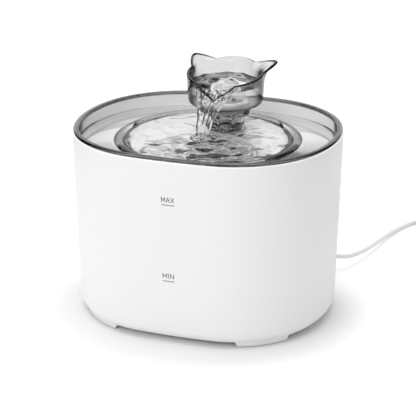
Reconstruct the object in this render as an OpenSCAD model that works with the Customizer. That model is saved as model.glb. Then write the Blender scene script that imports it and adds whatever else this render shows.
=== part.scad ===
// Pet drinking fountain: an oval water tub with a submersible pump, a filter deck, a clear
// drinking tray and a swivelling pouring cup. Millimetres, Z up, front towards -Y, origin on
// the table under the middle of the tub.

/* [Tub] */
// Width of the tub at its top edge
tub_w = 190; // [184:1:200]
// Depth of the tub at its top edge
tub_d = 161; // [155:1:170]
// Height of the tub's top edge above the table
tub_h = 133; // [128:1:150]
// Plan radius of the front and back walls
side_r = 400; // [340:10:500]
// Plan radius of the left and right walls
end_r = 98; // [94:1:104]
// Plan radius of the corners
corner_r = 71; // [69:1:73]
// Thickness of the tub's wall
wall = 2.6; // [2:0.2:3]
// Lean of the walls from upright, in degrees
draft = 1.5; // [0.5:0.25:2.25]
// Rounding of the top edge
edge_r = 0.8; // [0.4:0.1:1]
// Height of the underside above the table
base_z = 3; // [2.6:0.2:4.6]
// Rounding where the wall turns into the underside
base_fillet = 8.5; // [7:0.5:10]
// Width of the flat rim round the opening in the underside
base_lip = 3.8; // [3:0.2:6]
// Height of the reservoir floor's top above the table
floor_z = 22; // [21:0.5:25]
// Thickness of the reservoir floor
floor_t = 3; // [2:0.5:3.5]
// Rounding between the reservoir floor and the walls
floor_fillet = 7; // [5:0.5:9]
// Depth of the filter deck's shelf below the top edge
shelf_drop = 24; // [24:0.5:28]
// Width of that shelf
shelf_w = 1.6; // [1.2:0.2:2.4]

/* [Feet] */
// Height of the feet's moulded underside above the table
foot_z = 0.6; // [0.4:0.1:1]
// Radial width of a foot
foot_w = 7.7; // [6.5:0.1:8.5]
// Sweep of a foot round its corner, in degrees
foot_sweep = 33; // [26:1:38]
// Lean of a foot's two ends from upright, in degrees
foot_slant = 50; // [20:5:60]
// Thickness of the soft pad under a foot
pad_t = 1.4; // [1.2:0.1:2]
// Margin of the foot round its pad
pad_margin = 1.4; // [1.2:0.1:1.8]
// Sweep of a pad, in degrees
pad_sweep = 22; // [16:1:24]

/* [Base cover] */
// Thickness of the base cover
cover_t = 2.2; // [1.6:0.2:2.6]
// Gap between the base cover and the opening
cover_gap = 0.25; // [0.2:0.05:0.5]
// Distance of the screws from the middle, left and right
screw_x = 55; // [50:1:60]
// Distance of the screws from the middle, front and back
screw_y = 33; // [30:1:38]
// Radius of the screw posts
post_r = 4; // [3.5:0.5:5]
// Radius of the screw holes
screw_r = 1.6; // [1.2:0.1:2]

/* [Drinking tray] */
// Thickness of the tray
tray_t = 2.4; // [2:0.2:3]
// Depth of the tray's deck below the tub's top edge
deck_drop = 8; // [7:0.5:9]
// Height of the rim above the tub's top edge
rim_h = 2.2; // [1.8:0.2:3]
// Distance of the rim's outside from the tub's outside
rim_inset = 0.7; // [0.4:0.1:1]
// Gap between the tray and the tub's inside
tray_gap = 0.35; // [0.3:0.05:0.6]
// Thickness of the tray's upright wall
tray_wall = 1.7; // [1.4:0.1:2.2]
// Radius of the basin at its top
basin_r = 59; // [57:0.5:61]
// Depth of the basin's floor below the deck
basin_depth = 10; // [9:0.5:10]
// Height of the rounded bead round the basin
bead_h = 2; // [1.4:0.2:2.6]
// Width of that bead
bead_w = 7; // [6:0.5:8]
// Radius of the drain holes
drain_r = 2.5; // [2:0.25:3]
// Number of drain holes
drain_n = 8; // [6:1:10]
// Radius of the ring of drain holes
drain_ring = 22; // [18:1:26]

/* [Spout] */
// Distance of the spout's axis behind the middle
spout_y = 38; // [37:0.5:39]
// Radius of the boss that carries the spout
boss_r = 11.2; // [10.6:0.2:11.6]
// Height of that boss above the basin's floor
boss_h = 16; // [14:0.5:18]
// Radius of the water bore
bore_r = 4.5; // [3.5:0.25:5]
// Gap between the boss and the spout's skirt
skirt_gap = 0.3; // [0.3:0.05:0.5]
// Thickness of the skirt
skirt_t = 2.5; // [2.2:0.1:3]
// Radius of the upper ring
ring_r = 18; // [17:0.5:19]
// Height of the upper ring
ring_h = 5.4; // [4.6:0.2:6]
// Radius of the spigot that the cup turns on
spigot_r = 9; // [8.5:0.25:9.5]
// Height of the spigot
spigot_h = 7; // [6.6:0.2:8]
// Running clearance between the spigot and the cup's bush
swivel_gap = 0.05; // [0.02:0.01:0.1]

/* [Pouring cup] */
// Radius of the cup at its top
cup_r = 28.2; // [27:0.4:30]
// Radius of the cup just above its rounded floor
cup_low_r = 27.2; // [26:0.4:28]
// Thickness of the cup
cup_t = 2.2; // [1.8:0.2:2.6]
// Rounding between the cup's floor and wall
cup_fillet = 4; // [3:0.5:6]
// Mean height of the cup
cup_h = 23.5; // [22:0.5:26]
// Rise of the rim from the middle to the back
cup_rise = 4; // [2:0.5:5]
// Depth of the pouring notch
notch_depth = 10.5; // [8:0.5:11]
// Half the notch's sweep, in degrees
notch_sweep = 32; // [24:4:36]
// Direction of the ears from the front, in degrees
ear_angle = 124; // [116:4:136]
// Half the sweep of an ear, in degrees
ear_sweep = 22; // [18:2:28]
// Reach of an ear beyond the cup's rim
ear_reach = 10.2; // [6:0.5:12]
// Rise of an ear's tip above the rim beside it
ear_rise = 3; // [1:0.2:5]
// Half the sweep over which an ear's tip is rounded, in degrees
ear_round = 5; // [2:1:8]
// Depth of the dip in the rim behind each ear
ear_dip = 1.2; // [0:0.2:2]
// Height over which the wall leans out into an ear
ear_h = 8; // [6:0.5:9]

/* [Filter] */
// Thickness of the filter deck
filter_deck_t = 2.2; // [1.8:0.2:2.4]
// Gap between the filter deck and the tub
deck_gap = 0.5; // [0.4:0.1:0.8]
// Radius of the filter cartridge
filter_r = 40; // [38:0.5:41]
// Height of the filter cartridge
filter_h = 15; // [13:0.5:16]
// Gap between the cartridge and its well
well_gap = 0.8; // [0.5:0.1:1]
// Wall thickness of the well
well_t = 2; // [1.6:0.2:2.4]
// Distance of the well's middle in front of the tub's middle
well_y = 18; // [17:0.5:20]

/* [Pump] */
// Width of the pump
pump_w = 40; // [38:1:44]
// Height of the pump
pump_h = 34; // [32:1:38]
// Length of the pump's housing
motor_l = 31; // [29:1:34]
// Length of the intake cover
intake_l = 17; // [15:0.5:20]
// Wall thickness of the pump
pump_t = 1.8; // [1.4:0.2:2.2]
// Radius of the impeller
impeller_r = 10.8; // [10:0.2:11.2]
// Number of impeller blades
blade_n = 6; // [4:1:8]
// Radius of the impeller's shaft
shaft_r = 1; // [0.8:0.1:1.3]
// Running clearance round the shaft
shaft_gap = 0.05; // [0.02:0.01:0.1]
// Height of the suction cups
suction_h = 4; // [3.5:0.5:6]
// Radius of the suction cups
suction_r = 5.5; // [4.5:0.5:6.5]
// Travel of the flow slider each way from its middle
slider_travel = 4.5; // [3:0.5:5]
// Wall thickness of the riser tube
tube_t = 2; // [1.5:0.25:2.25]

/* [Cord] */
// Diameter of the cord
cord_d = 3.4; // [3:0.1:3.6]
// Height of the cord's outlet above the table
cord_z = 13.5; // [13:0.25:14]
// Direction of the outlet round the rear right corner, in degrees
cord_dir = 58; // [54:1:62]
// Length of the strain relief outside the tub
relief_l = 15; // [12:1:18]

/* [Hidden] */
$fn = 96;

// Length by which a cut runs past the face that it opens
past = 1;
// Gap under a piece that rests on another, and round a soft piece
seat_gap = 0.3;

// The oval: eight tangent arcs, each [centre, radius, start angle, sweep, segments]
half_w = tub_w / 2;
half_d = tub_d / 2;
end_c = half_w - end_r;
side_c = half_d - side_r;
end_reach = end_r - corner_r;
side_reach = side_r - corner_r;
arm = norm([end_c, side_c]);
along = (end_reach * end_reach - side_reach * side_reach + arm * arm) / (2 * arm);
across = sqrt(end_reach * end_reach - along * along);
arm_dir = [-end_c, side_c] / arm;
corner_c = [end_c, 0] + along * arm_dir + across * [-arm_dir.y, arm_dir.x];
end_a = atan2(corner_c.y, corner_c.x - end_c);
side_a = atan2(corner_c.y - side_c, corner_c.x);
corner_turn = side_a - end_a;
end_seg = 6;
side_seg = 4;
corner_seg = 12;
ARCS = [
    [[end_c, 0], end_r, -end_a, 2 * end_a, end_seg],
    [corner_c, corner_r, end_a, corner_turn, corner_seg],
    [[0, side_c], side_r, side_a, 180 - 2 * side_a, side_seg],
    [[-corner_c.x, corner_c.y], corner_r, 180 - side_a, corner_turn, corner_seg],
    [[-end_c, 0], end_r, 180 - end_a, 2 * end_a, end_seg],
    [-corner_c, corner_r, 180 + end_a, corner_turn, corner_seg],
    [[0, -side_c], side_r, 180 + side_a, 180 - 2 * side_a, side_seg],
    [[corner_c.x, -corner_c.y], corner_r, 360 - side_a, corner_turn, corner_seg]
];

// Heights above the table
shelf_z = tub_h - shelf_drop;
deck_z = tub_h - deck_drop;
basin_z = deck_z - basin_depth;
boss_z = basin_z + boss_h;
stem_z = boss_z + seat_gap;
ring_top = stem_z + 3.3 + ring_h;
cup_z = ring_top + 0.5;
hub_z = cup_z + cup_t;
spigot_z = ring_top + spigot_h;
well_z = shelf_z + filter_deck_t - filter_h - 4.2;
pump_z = floor_z + suction_h;
tube_z = basin_z - tray_t - 2.6;

// Insets from the tub's outside at its top edge
lip_in = drift(base_z + base_fillet) + base_fillet + base_lip;
tray_in = wall + drift(deck_z - tray_t) + tray_gap;
deck_in = wall + drift(shelf_z) + deck_gap;

// Inner radius of a foot and the gap round its pad
foot_r = corner_r - lip_in + 0.4;
pad_gap = 0.1;

// Thickness of the cartridge's rim and bars, and width of the bars
bar_t = 1.6;
bar_w = 2;

// Spout and riser
tube_r = bore_r + tube_t;
collar_r = tube_r + 0.3;
collar_t = 2.2;
collar_l = 12.6;
skirt_r = boss_r + skirt_gap;
seal_r = 0.8;
hub_r = spigot_r + 1.2;

// Pump, along Y: the intake cover in front of the housing
pump_front = spout_y - 7;
pump_back = pump_front + motor_l;
intake_front = pump_front - intake_l;
pump_round = 5;
impeller_x = -4;
impeller_z = pump_z + pump_h / 2;
chamber_r = impeller_r + 1.7;
chamber_l = 12;
cap_r = chamber_r + 1.5;
cap_t = 2.2;
rotor_r = 6.2;
bore_end = pump_back - 2.5;
window_w = 2 * slider_travel + 5;
window_h = 3.6;
window_z = pump_z + pump_h - 7;
slot_w = 2.4;
slot_pitch = 5;
side_pitch = 4;
slot_low = 6;
slot_top = 14;
foam_l = 8;
foam_y = intake_front + pump_t + 2.4;
flange_t = 3;
rib_n = 4;
rib_t = 1.4;
rib_d = 0.9;
rib_pitch = (motor_l - flange_t - rib_t) / (rib_n + 1);
knob_w = 10;
knob_t = 1.6;
knob_h = 6;

// Cord outlet
outlet_r = 3.6;
out_dir = [cos(cord_dir), sin(cord_dir)];
outlet = corner_c + (corner_r - drift(cord_z)) * out_dir;

// Route of the lead: out of the pump's side, down through the floor's gland and to the outlet
lead_boss_l = 4;
lead_reach = 12;
lead_back = 10.5;
lead_h = 8;
lead_out = [pump_w / 2 + lead_boss_l, pump_back - lead_back, pump_z + lead_h];
gland = [lead_out.x + lead_reach, lead_out.y];
lead_end = outlet - (wall + 5) * out_dir;
lead_rise = lead_end - 8 * out_dir;
lead_dir = (lead_rise - gland) / norm(lead_rise - gland);
LEAD = concat(
    [lead_out, lead_out + [3, 0, 0], lead_out + [7.4, 0, -0.9], lead_out + [10.8, 0, -3.8]],
    [for (z = [floor_z + 5.2, floor_z + 2.4, floor_z - floor_t - 1.9, floor_z - floor_t - 3.2])
        [gland.x, gland.y, z]],
    [for (p = [[1.6, 12.8], [4.6, 10.6], [8.6, 10.2]])
        [gland.x + p.x * lead_dir.x, gland.y + p.x * lead_dir.y, p.y]],
    [for (p = [[8, 11.8], [4, 13.3], [2, cord_z], [0, cord_z]])
        [lead_end.x - p.x * out_dir.x, lead_end.y - p.x * out_dir.y, p.y]]
);
// Route of the cord from the strain relief to its coil
CORD = [
    [66.5, 79, 13.5], [69.2, 83.2, 13], [73, 88, 11.6], [77.9, 93.6, 9.9], [81.8, 100.4, 8.6],
    [85, 110.5, 7.4], [87.8, 123, 6.2], [90.1, 137.8, 5], [92.4, 153.3, 3.9], [94.9, 168, 2.9],
    [97.9, 180.7, 2.2], [101.5, 191.7, 1.8], [105.6, 200.2, 1.7], [109.5, 206, 1.7],
    [115, 214.2, 1.7], [120.9, 223, 1.7]
];
// Tail of the cord from the coil to the plug
TAIL = [
    [170.8, 208.1, 8.4], [170.8, 199, 8.1], [170.8, 190, 6.3], [170.8, 180, 4.2], [170.8, 170, 3.2],
    [170.8, 160, 3.4], [170.8, 152, 4], [170.8, 146, 4]
];
tail_end = TAIL[len(TAIL) - 1];
coil_c = [143.6, 208.1];
coil_r = 20.4;
coil_cols = 5;
coil_rows = 2;
plug_l = 26;
plug_neck_l = 6;
plug_w = 15;
plug_h = 8;

// Inset of the wall at height z, from its lean
function drift(z) = (tub_h - z) * tan(draft);

// Points of the oval, drawn in from its top edge by an inset
function oval(inset) = [for (arc = ARCS, k = [0 : arc[4] - 1])
    let (a = arc[2] + arc[3] * k / arc[4]) arc[0] + (arc[1] - inset) * [cos(a), sin(a)]];

// Rounded foot of a wall, as [inset, height] from the underside up to the wall
function foot_curve(inset, z, r, steps = 4) =
    let (c = [inset + drift(z + r) + r / cos(draft), z + r])
    [for (k = [0 : steps]) let (a = 270 - k * (90 - draft) / steps) c + r * [cos(a), sin(a)]];

function reverse(list) = [for (i = [len(list) - 1 : -1 : 0]) list[i]];

// Closed band round the oval: the profile is [inset, height], upward on the outside
module oval_band(profile) {
    n = len(oval(0));
    m = len(profile);
    polyhedron(
        [for (p = profile) for (q = oval(p.x)) [q.x, q.y, p.y]],
        [for (j = [0 : m - 1], i = [0 : n - 1]) [
            j * n + i, (j + 1) % m * n + i, (j + 1) % m * n + (i + 1) % n, j * n + (i + 1) % n
        ]]
    );
}

// Flat plate with the oval's outline
module oval_plate(inset, z0, z1) {
    translate([0, 0, z0]) linear_extrude(z1 - z0) polygon(oval(inset));
}

// Copies at the four corners, numbered 0 to 3 from the rear right
module corner(k) {
    mirror([k % 2, 0, 0]) mirror([0, floor(k / 2), 0]) children();
}

// Part of a ring round a corner's centre, from radius r0 to r1
module corner_sector(r0, r1, z0, z1, sweep) {
    middle = (end_a + side_a) / 2;
    translate([corner_c.x, corner_c.y, 0])
        rotate_extrude(angle = sweep, start = middle - sweep / 2)
            translate([r0, z0]) square([r1 - r0, z1 - z0]);
}

// Block beyond the slanted end of a foot, on side 1 or -1 of its middle
module foot_end(side) {
    translate([corner_c.x, corner_c.y, base_z])
        rotate([0, 0, (end_a + side_a) / 2 + side * foot_sweep / 2]) rotate([-side * foot_slant, 0, 0])
            translate([0, side > 0 ? 0 : -2 * foot_w, -2 * foot_w]) cube([corner_r, 2 * foot_w, 2 * foot_w]);
}

// Rectangle with round corners, about its middle
module rounded_rect(w, h, r) {
    square([w - 2 * r, h], center = true);
    square([w, h - 2 * r], center = true);
    for (x = [-1, 1], y = [-1, 1])
        translate([x * (w / 2 - r), y * (h / 2 - r)]) circle(r);
}

// Point of a smooth curve through a route, t from 0 to 1 between points i and i + 1
function curve(p, i, t) =
    let (a = p[max(i - 1, 0)], b = p[i], c = p[i + 1], d = p[min(i + 2, len(p) - 1)])
    0.5 * (2 * b + (c - a) * t + (2 * a - 5 * b + 4 * c - d) * t * t
        + (3 * b - a - 3 * c + d) * t * t * t);

// Tube swept along a route, with flat ends square to its first and last stretch
module swept_tube(route, r, side, steps = 2, sides = 8) {
    last = len(route) - 1;
    line = concat([for (i = [0 : last - 1], k = [0 : steps - 1]) curve(route, i, k / steps)],
        [route[last]]);
    n = len(line);
    heading = [for (i = [0 : n - 1])
        i == 0 ? route[1] - route[0]
        : i == n - 1 ? route[last] - route[last - 1]
        : line[i + 1] - line[i - 1]];
    rings = [for (i = [0 : n - 1], k = [0 : sides - 1])
        let (t = heading[i] / norm(heading[i]), across = cross(t, side),
             u = across / norm(across), v = cross(t, u), a = 360 * k / sides)
        line[i] + r * (cos(a) * u + sin(a) * v)];
    polyhedron(rings, concat(
        [[for (k = [0 : sides - 1]) k]],
        [[for (k = [sides - 1 : -1 : 0]) (n - 1) * sides + k]],
        [for (i = [0 : n - 2], k = [0 : sides - 1]) [
            i * sides + k, (i + 1) * sides + k,
            (i + 1) * sides + (k + 1) % sides, i * sides + (k + 1) % sides
        ]]));
}

// Places its children with +Z along the cord's outlet, at the tub's outside
module at_outlet() {
    translate([outlet.x, outlet.y, cord_z]) rotate([0, 90, cord_dir]) children();
}

// ---- Tub -----------------------------------------------------------------------------

tub_profile = concat(
    [[lip_in, base_z]],
    foot_curve(0, base_z, base_fillet),
    [
        [drift(tub_h - edge_r), tub_h - edge_r],
        [0.3 * edge_r, tub_h - 0.3 * edge_r],
        [edge_r, tub_h],
        [wall, tub_h],
        [wall + drift(shelf_z), shelf_z],
        [wall + drift(shelf_z) + shelf_w, shelf_z]
    ],
    reverse(foot_curve(wall + shelf_w, floor_z - 0.2, floor_fillet)),
    [
        [wall + shelf_w + drift(floor_z) + floor_fillet, floor_z - floor_t / 2],
        [wall + drift(floor_z - floor_t), floor_z - floor_t / 2]
    ],
    reverse(foot_curve(wall, base_z + wall, base_fillet - wall)),
    [[lip_in, base_z + wall]]
);

module tub() color("white") {
    difference() {
        union() {
            oval_band(tub_profile);
            oval_plate(wall / 2 + drift(floor_z), floor_z - floor_t, floor_z);
        }
        at_outlet() cylinder(h = 8 * wall, r = outlet_r, center = true);
        translate([gland.x, gland.y, floor_z - floor_t - past])
            cylinder(h = floor_t + 2 * past, r = outlet_r);
    }
    for (k = [0 : 3]) corner(k) difference() {
        corner_sector(foot_r, foot_r + foot_w, foot_z, base_z + wall, foot_sweep);
        for (side = [-1, 1]) foot_end(side);
        corner_sector(foot_r + pad_margin, foot_r + foot_w - pad_margin, foot_z - past, pad_t, pad_sweep);
    }
    for (k = [0 : 3]) corner(k) translate([screw_x, screw_y, base_z + cover_t]) difference() {
        cylinder(h = floor_z - floor_t / 2 - base_z - cover_t, r = post_r);
        translate([0, 0, -past]) cylinder(h = 10 + past, r = screw_r - 0.3);
    }
}

module base_cover() color("whitesmoke") {
    difference() {
        oval_plate(lip_in + cover_gap, base_z, base_z + cover_t);
        for (k = [0 : 3]) corner(k) translate([screw_x, screw_y, base_z - past]) {
            cylinder(h = cover_t + 2 * past, r = screw_r);
            cylinder(h = past + cover_t / 2, r = 2 * screw_r);
        }
    }
}

module foot_pad(k) {
    color("silver") corner(k) corner_sector(foot_r + pad_margin + pad_gap,
        foot_r + foot_w - pad_margin - pad_gap, 0, pad_t, pad_sweep - 0.4);
}

// ---- Cord outlet, floor gland and lead ----------------------------------------------------

module cord_grommet() color("white") {
    at_outlet() rotate_extrude() polygon([
        [0, -wall - 5], [outlet_r + 1, -wall - 5], [outlet_r + 1, -wall - 2.6],
        [outlet_r - 0.1, -wall - 2.6], [outlet_r - 0.1, 0.4], [outlet_r + 0.9, 0.4],
        [outlet_r + 0.9, 2], [outlet_r - 0.4, 3], [cord_d / 2 + 0.6, relief_l],
        [0, relief_l]
    ]);
}

module floor_gland() color("gainsboro") {
    translate([gland.x, gland.y, 0]) rotate_extrude() polygon([
        [cord_d / 2 + 0.05, floor_z - floor_t - 1.6], [outlet_r + 1.4, floor_z - floor_t - 1.6],
        [outlet_r + 1.4, floor_z - floor_t], [outlet_r - 0.05, floor_z - floor_t],
        [outlet_r - 0.05, floor_z], [outlet_r + 1.4, floor_z],
        [outlet_r + 1, floor_z + 1.6], [cord_d / 2 + 0.05, floor_z + 1.6]
    ]);
}

module pump_lead() color("white") {
    swept_tube(LEAD, cord_d / 2, [1, -1, 1], 3);
}

// ---- Pump ------------------------------------------------------------------------------

// Block with the pump's rounded cross-section between two places along Y
module pump_block(y0, y1, inset = 0) {
    translate([0, y1, pump_z + pump_h / 2]) rotate([90, 0, 0])
        linear_extrude(y1 - y0)
            rounded_rect(pump_w - 2 * inset, pump_h - 2 * inset, pump_round - inset);
}

// Cylinder on the impeller's axis between two places along Y
module axle(y0, y1, r) {
    translate([impeller_x, y1, impeller_z]) rotate([90, 0, 0]) cylinder(h = y1 - y0, r = r);
}

module suction_place(k) {
    translate([(k % 2 == 0 ? 1 : -1) * (pump_w / 2 - 7), k < 2 ? pump_front + 6 : pump_back - 6, 0])
        children();
}

module pump_housing() color("dimgray") {
    difference() {
        union() {
            pump_block(pump_front + flange_t, pump_back, rib_d);
            pump_block(pump_front, pump_front + flange_t);
            for (k = [1 : rib_n])
                pump_block(pump_front + flange_t + k * rib_pitch, pump_front + flange_t + k * rib_pitch + rib_t);
            pump_block(pump_back - rib_t, pump_back);
            translate([0, spout_y, pump_z + pump_h - past])
                cylinder(h = 10 + past, r = bore_r - 0.05);
            translate([pump_w / 2 - rib_d - past, lead_out.y, lead_out.z]) rotate([0, 90, 0])
                cylinder(h = lead_boss_l + rib_d + past, r1 = 4.2, r2 = 3);
        }
        axle(pump_front - past, pump_front + cap_t, cap_r + 0.1);
        axle(pump_front, pump_front + chamber_l, chamber_r);
        axle(pump_front, bore_end, rotor_r + 0.6);
        axle(pump_front, pump_back - 1, shaft_r + shaft_gap);
        translate([0, spout_y, impeller_z]) cylinder(h = pump_h, r = bore_r - 1.4);
        for (k = [0 : 3]) suction_place(k)
            translate([0, 0, pump_z - past]) cylinder(h = past + 2, r = 2.1);
    }
}

module volute_cap() color("gray") {
    difference() {
        axle(pump_front, pump_front + cap_t, cap_r);
        difference() {
            axle(pump_front - past, pump_front + cap_t + past, 6);
            axle(pump_front - 2 * past, pump_front + cap_t + 2 * past, 2.4);
            for (a = [0, 60, 120]) translate([impeller_x, pump_front, impeller_z])
                rotate([0, a, 0]) cube([14, 4 * cap_t, 1.4], center = true);
        }
        axle(pump_front + 0.8, pump_front + cap_t + past, shaft_r);
    }
}

module impeller_shaft() color("ivory") {
    axle(pump_front + 0.8, pump_back - 1, shaft_r);
}

module impeller_wheel() color("white") {
    wheel_front = pump_front + cap_t + 1;
    plate_y = pump_front + chamber_l - 2;
    difference() {
        union() {
            axle(plate_y, plate_y + 1.4, impeller_r);
            axle(wheel_front, pump_front + chamber_l + 1, 3.6);
            for (k = [0 : blade_n - 1]) translate([impeller_x, wheel_front, impeller_z])
                rotate([0, 360 * k / blade_n, 0]) translate([2.6, 0, -0.6])
                    cube([impeller_r - 3, plate_y - wheel_front + 0.5, 1.2]);
        }
        axle(wheel_front - past, pump_front + chamber_l + 1 + past, shaft_r + shaft_gap);
    }
}

module rotor_magnet() color("black") {
    difference() {
        axle(pump_front + chamber_l + 1, bore_end - 0.8, rotor_r);
        axle(pump_front, bore_end, shaft_r + shaft_gap);
    }
}

module pump_cover() color("dimgray") {
    difference() {
        pump_block(intake_front, pump_front);
        pump_block(intake_front + pump_t, pump_front + past, pump_t);
        for (k = [-3 : 3]) translate([slot_pitch * k - slot_w / 2, intake_front - past, pump_z + slot_low])
            cube([slot_w, pump_t + 2 * past, pump_h - slot_low - slot_top]);
        for (k = [0 : 2], x = [-1, 1])
            translate([x * pump_w / 2, intake_front + slot_pitch + side_pitch * k, pump_z + pump_h / 2])
                cube([4 * pump_t, slot_w, pump_h - slot_low - slot_top + 4], center = true);
        translate([-window_w / 2, intake_front - past, window_z - window_h / 2])
            cube([window_w, pump_t + 2 * past, window_h]);
    }
}

module pump_foam() color("darkslategray") {
    pump_block(foam_y, foam_y + foam_l, pump_t + seat_gap);
}

module flow_slider() color("gray") {
    neck_h = window_h - 2 * seat_gap;
    back_t = 1.2;
    translate([-knob_w / 2, intake_front - seat_gap - knob_t, window_z - knob_h / 2])
        cube([knob_w, knob_t, knob_h]);
    translate([-knob_w / 5, intake_front - seat_gap - knob_t / 2, window_z - neck_h / 2])
        cube([0.4 * knob_w, knob_t / 2 + pump_t + 2 * seat_gap + back_t, neck_h]);
    translate([-knob_w / 2 - 0.5, intake_front + pump_t + seat_gap, window_z - knob_h / 2])
        cube([knob_w + 1, back_t, knob_h]);
}

module pump_suction(k) {
    color("gray") suction_place(k) translate([0, 0, floor_z]) rotate_extrude() polygon([
        [0, 1.2], [suction_r - 2, 0.8], [suction_r - 0.6, 0], [suction_r, 0],
        [2.6, suction_h - 1], [2.6, suction_h], [2, suction_h], [2, suction_h + 1.6], [0, suction_h + 1.6]
    ]);
}

module riser_tube() color("gainsboro") {
    translate([0, spout_y, 0]) rotate_extrude()
        translate([bore_r, pump_z + pump_h]) square([tube_t, tube_z - pump_z - pump_h]);
}

// ---- Filter ----------------------------------------------------------------------------

module filter_deck() color("white") {
    well_r = filter_r + well_gap;
    difference() {
        union() {
            oval_plate(deck_in, shelf_z, shelf_z + filter_deck_t);
            translate([0, -well_y, well_z]) cylinder(h = shelf_z + filter_deck_t - well_z, r = well_r + well_t);
        }
        translate([0, -well_y, well_z + well_t]) cylinder(h = 2 * filter_h, r = well_r);
        translate([0, spout_y, shelf_z - past])
            cylinder(h = filter_deck_t + 2 * past, r = collar_r + collar_t + 0.6);
        for (k = [-5 : 5]) let (x = 7 * k, reach = sqrt(pow(well_r - 3, 2) - x * x))
            translate([x - 1.6, -well_y - reach, well_z - past]) cube([3.2, 2 * reach, well_t + 2 * past]);
    }
}

module filter_frame() color("whitesmoke") {
    z = well_z + well_t;
    translate([0, -well_y, z]) {
        difference() {
            cylinder(h = filter_h, r = filter_r);
            translate([0, 0, -past]) cylinder(h = filter_h + 2 * past, r = filter_r - bar_t);
        }
        for (level = [0, filter_h - bar_t], a = [0 : 30 : 150])
            translate([0, 0, level + bar_t / 2]) rotate([0, 0, a])
                cube([2 * filter_r - bar_t, bar_w, bar_t], center = true);
        for (level = [0, filter_h - bar_t], r = [filter_r / 4, 5 * filter_r / 8])
            translate([0, 0, level]) difference() {
                cylinder(h = bar_t, r = r + bar_w / 2);
                translate([0, 0, -past]) cylinder(h = bar_t + 2 * past, r = r - bar_w / 2);
            }
    }
}

module filter_media() color("dimgray") {
    translate([0, -well_y, well_z + well_t + bar_t])
        cylinder(h = filter_h - 2 * bar_t, r = filter_r - bar_t - seat_gap);
}

// ---- Drinking tray ---------------------------------------------------------------------

tray_profile = [
    [tray_in, deck_z - tray_t + 0.8],
    [tray_in, tub_h],
    [rim_inset, tub_h],
    [rim_inset, tub_h + rim_h - 1.2],
    [rim_inset + 0.4, tub_h + rim_h - 0.4],
    [rim_inset + 1.2, tub_h + rim_h],
    [tray_in + tray_wall - 1.2, tub_h + rim_h],
    [tray_in + tray_wall - 0.4, tub_h + rim_h - 0.4],
    [tray_in + tray_wall, tub_h + rim_h - 1.2],
    [tray_in + tray_wall + 0.3, deck_z + 2],
    [tray_in + tray_wall + 0.9, deck_z + 0.6],
    [tray_in + tray_wall + 2.3, deck_z - 0.2],
    [tray_in + tray_wall + 2.3, deck_z - tray_t + 1.2]
];

// Basin and its bead, as radius and height from the bead's foot in to the middle and back
bead_mid = basin_r + bead_w / 2;
bead_arc = (bead_h * bead_h + bead_w * bead_w / 4) / (2 * bead_h);
bead_span = asin(bead_w / 2 / bead_arc);
basin_turn = 7;
basin_profile = concat(
    [[basin_r + bead_w + 0.2, deck_z - tray_t / 2]],
    [for (k = [0 : 8]) let (a = 90 - bead_span + 2 * bead_span * k / 8)
        [bead_mid + bead_arc * cos(a), deck_z + bead_h - bead_arc + bead_arc * sin(a)]],
    [for (k = [0 : 4]) let (a = -90 * k / 4)
        [basin_r - basin_turn + basin_turn * cos(a), basin_z + basin_turn + basin_turn * sin(a)]],
    [[0, basin_z], [0, basin_z - tray_t]],
    [for (k = [4 : -1 : 0]) let (a = -90 * k / 4, r = basin_turn + tray_t)
        [basin_r - basin_turn + r * cos(a), basin_z + basin_turn + r * sin(a)]],
    [[basin_r + tray_t, deck_z - tray_t / 2]]
);

module drinking_tray() color([0.8, 0.9, 0.95, 0.5]) {
    oval_band(tray_profile);
    difference() {
        union() {
            difference() {
                oval_plate(tray_in + 0.8, deck_z - tray_t, deck_z);
                translate([0, 0, deck_z - tray_t - past])
                    cylinder(h = tray_t + 2 * past, r = basin_r + tray_t / 2);
            }
            rotate_extrude() polygon(basin_profile);
            translate([0, spout_y, basin_z - tray_t / 2]) cylinder(h = boss_h + tray_t / 2, r = boss_r);
            translate([0, spout_y, basin_z - tray_t / 2 - collar_l])
                cylinder(h = collar_l, r = collar_r + collar_t);
        }
        translate([0, spout_y, basin_z - tray_t - collar_l]) cylinder(h = collar_l, r = collar_r);
        translate([0, spout_y, basin_z - 2 * tray_t]) cylinder(h = boss_h + 3 * tray_t, r = bore_r);
        for (k = [0 : drain_n - 1]) translate([0, 2 - well_y, basin_z - tray_t - past])
            rotate([0, 0, 360 * (k + 0.5) / drain_n]) translate([drain_ring, 0, 0])
                cylinder(h = tray_t + 2 * past, r = drain_r);
    }
}

// ---- Spout -----------------------------------------------------------------------------

module spout_stem() color([0.35, 0.38, 0.4, 0.8]) {
    groove_z = basin_z + 8;
    translate([0, spout_y, 0]) rotate_extrude() polygon([
        [skirt_r, basin_z + 2], [skirt_r + skirt_t, basin_z + 2],
        [skirt_r + skirt_t, stem_z + 1.4], [ring_r - 1.2, stem_z + 1.4],
        [ring_r - 0.8, stem_z + 1.8], [ring_r - 0.8, stem_z + 2.7],
        [ring_r - 1.2, stem_z + 3.1], [ring_r - 0.6, stem_z + 3.3],
        [ring_r, stem_z + 3.9], [ring_r, ring_top - 0.8], [ring_r - 0.8, ring_top],
        [spigot_r, ring_top], [spigot_r, spigot_z - 0.6], [spigot_r - 0.6, spigot_z],
        [bore_r + 0.5, spigot_z], [bore_r + 0.5, stem_z], [skirt_r, stem_z],
        [skirt_r, groove_z + seal_r + 0.1], [skirt_r + 2 * seal_r, groove_z + seal_r + 0.1],
        [skirt_r + 2 * seal_r, groove_z - seal_r - 0.1], [skirt_r, groove_z - seal_r - 0.1]
    ]);
}

module stem_seal() color("black") {
    translate([0, spout_y, basin_z + 8]) rotate_extrude()
        translate([skirt_r + seal_r, 0]) circle(seal_r, $fn = 32);
}

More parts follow.
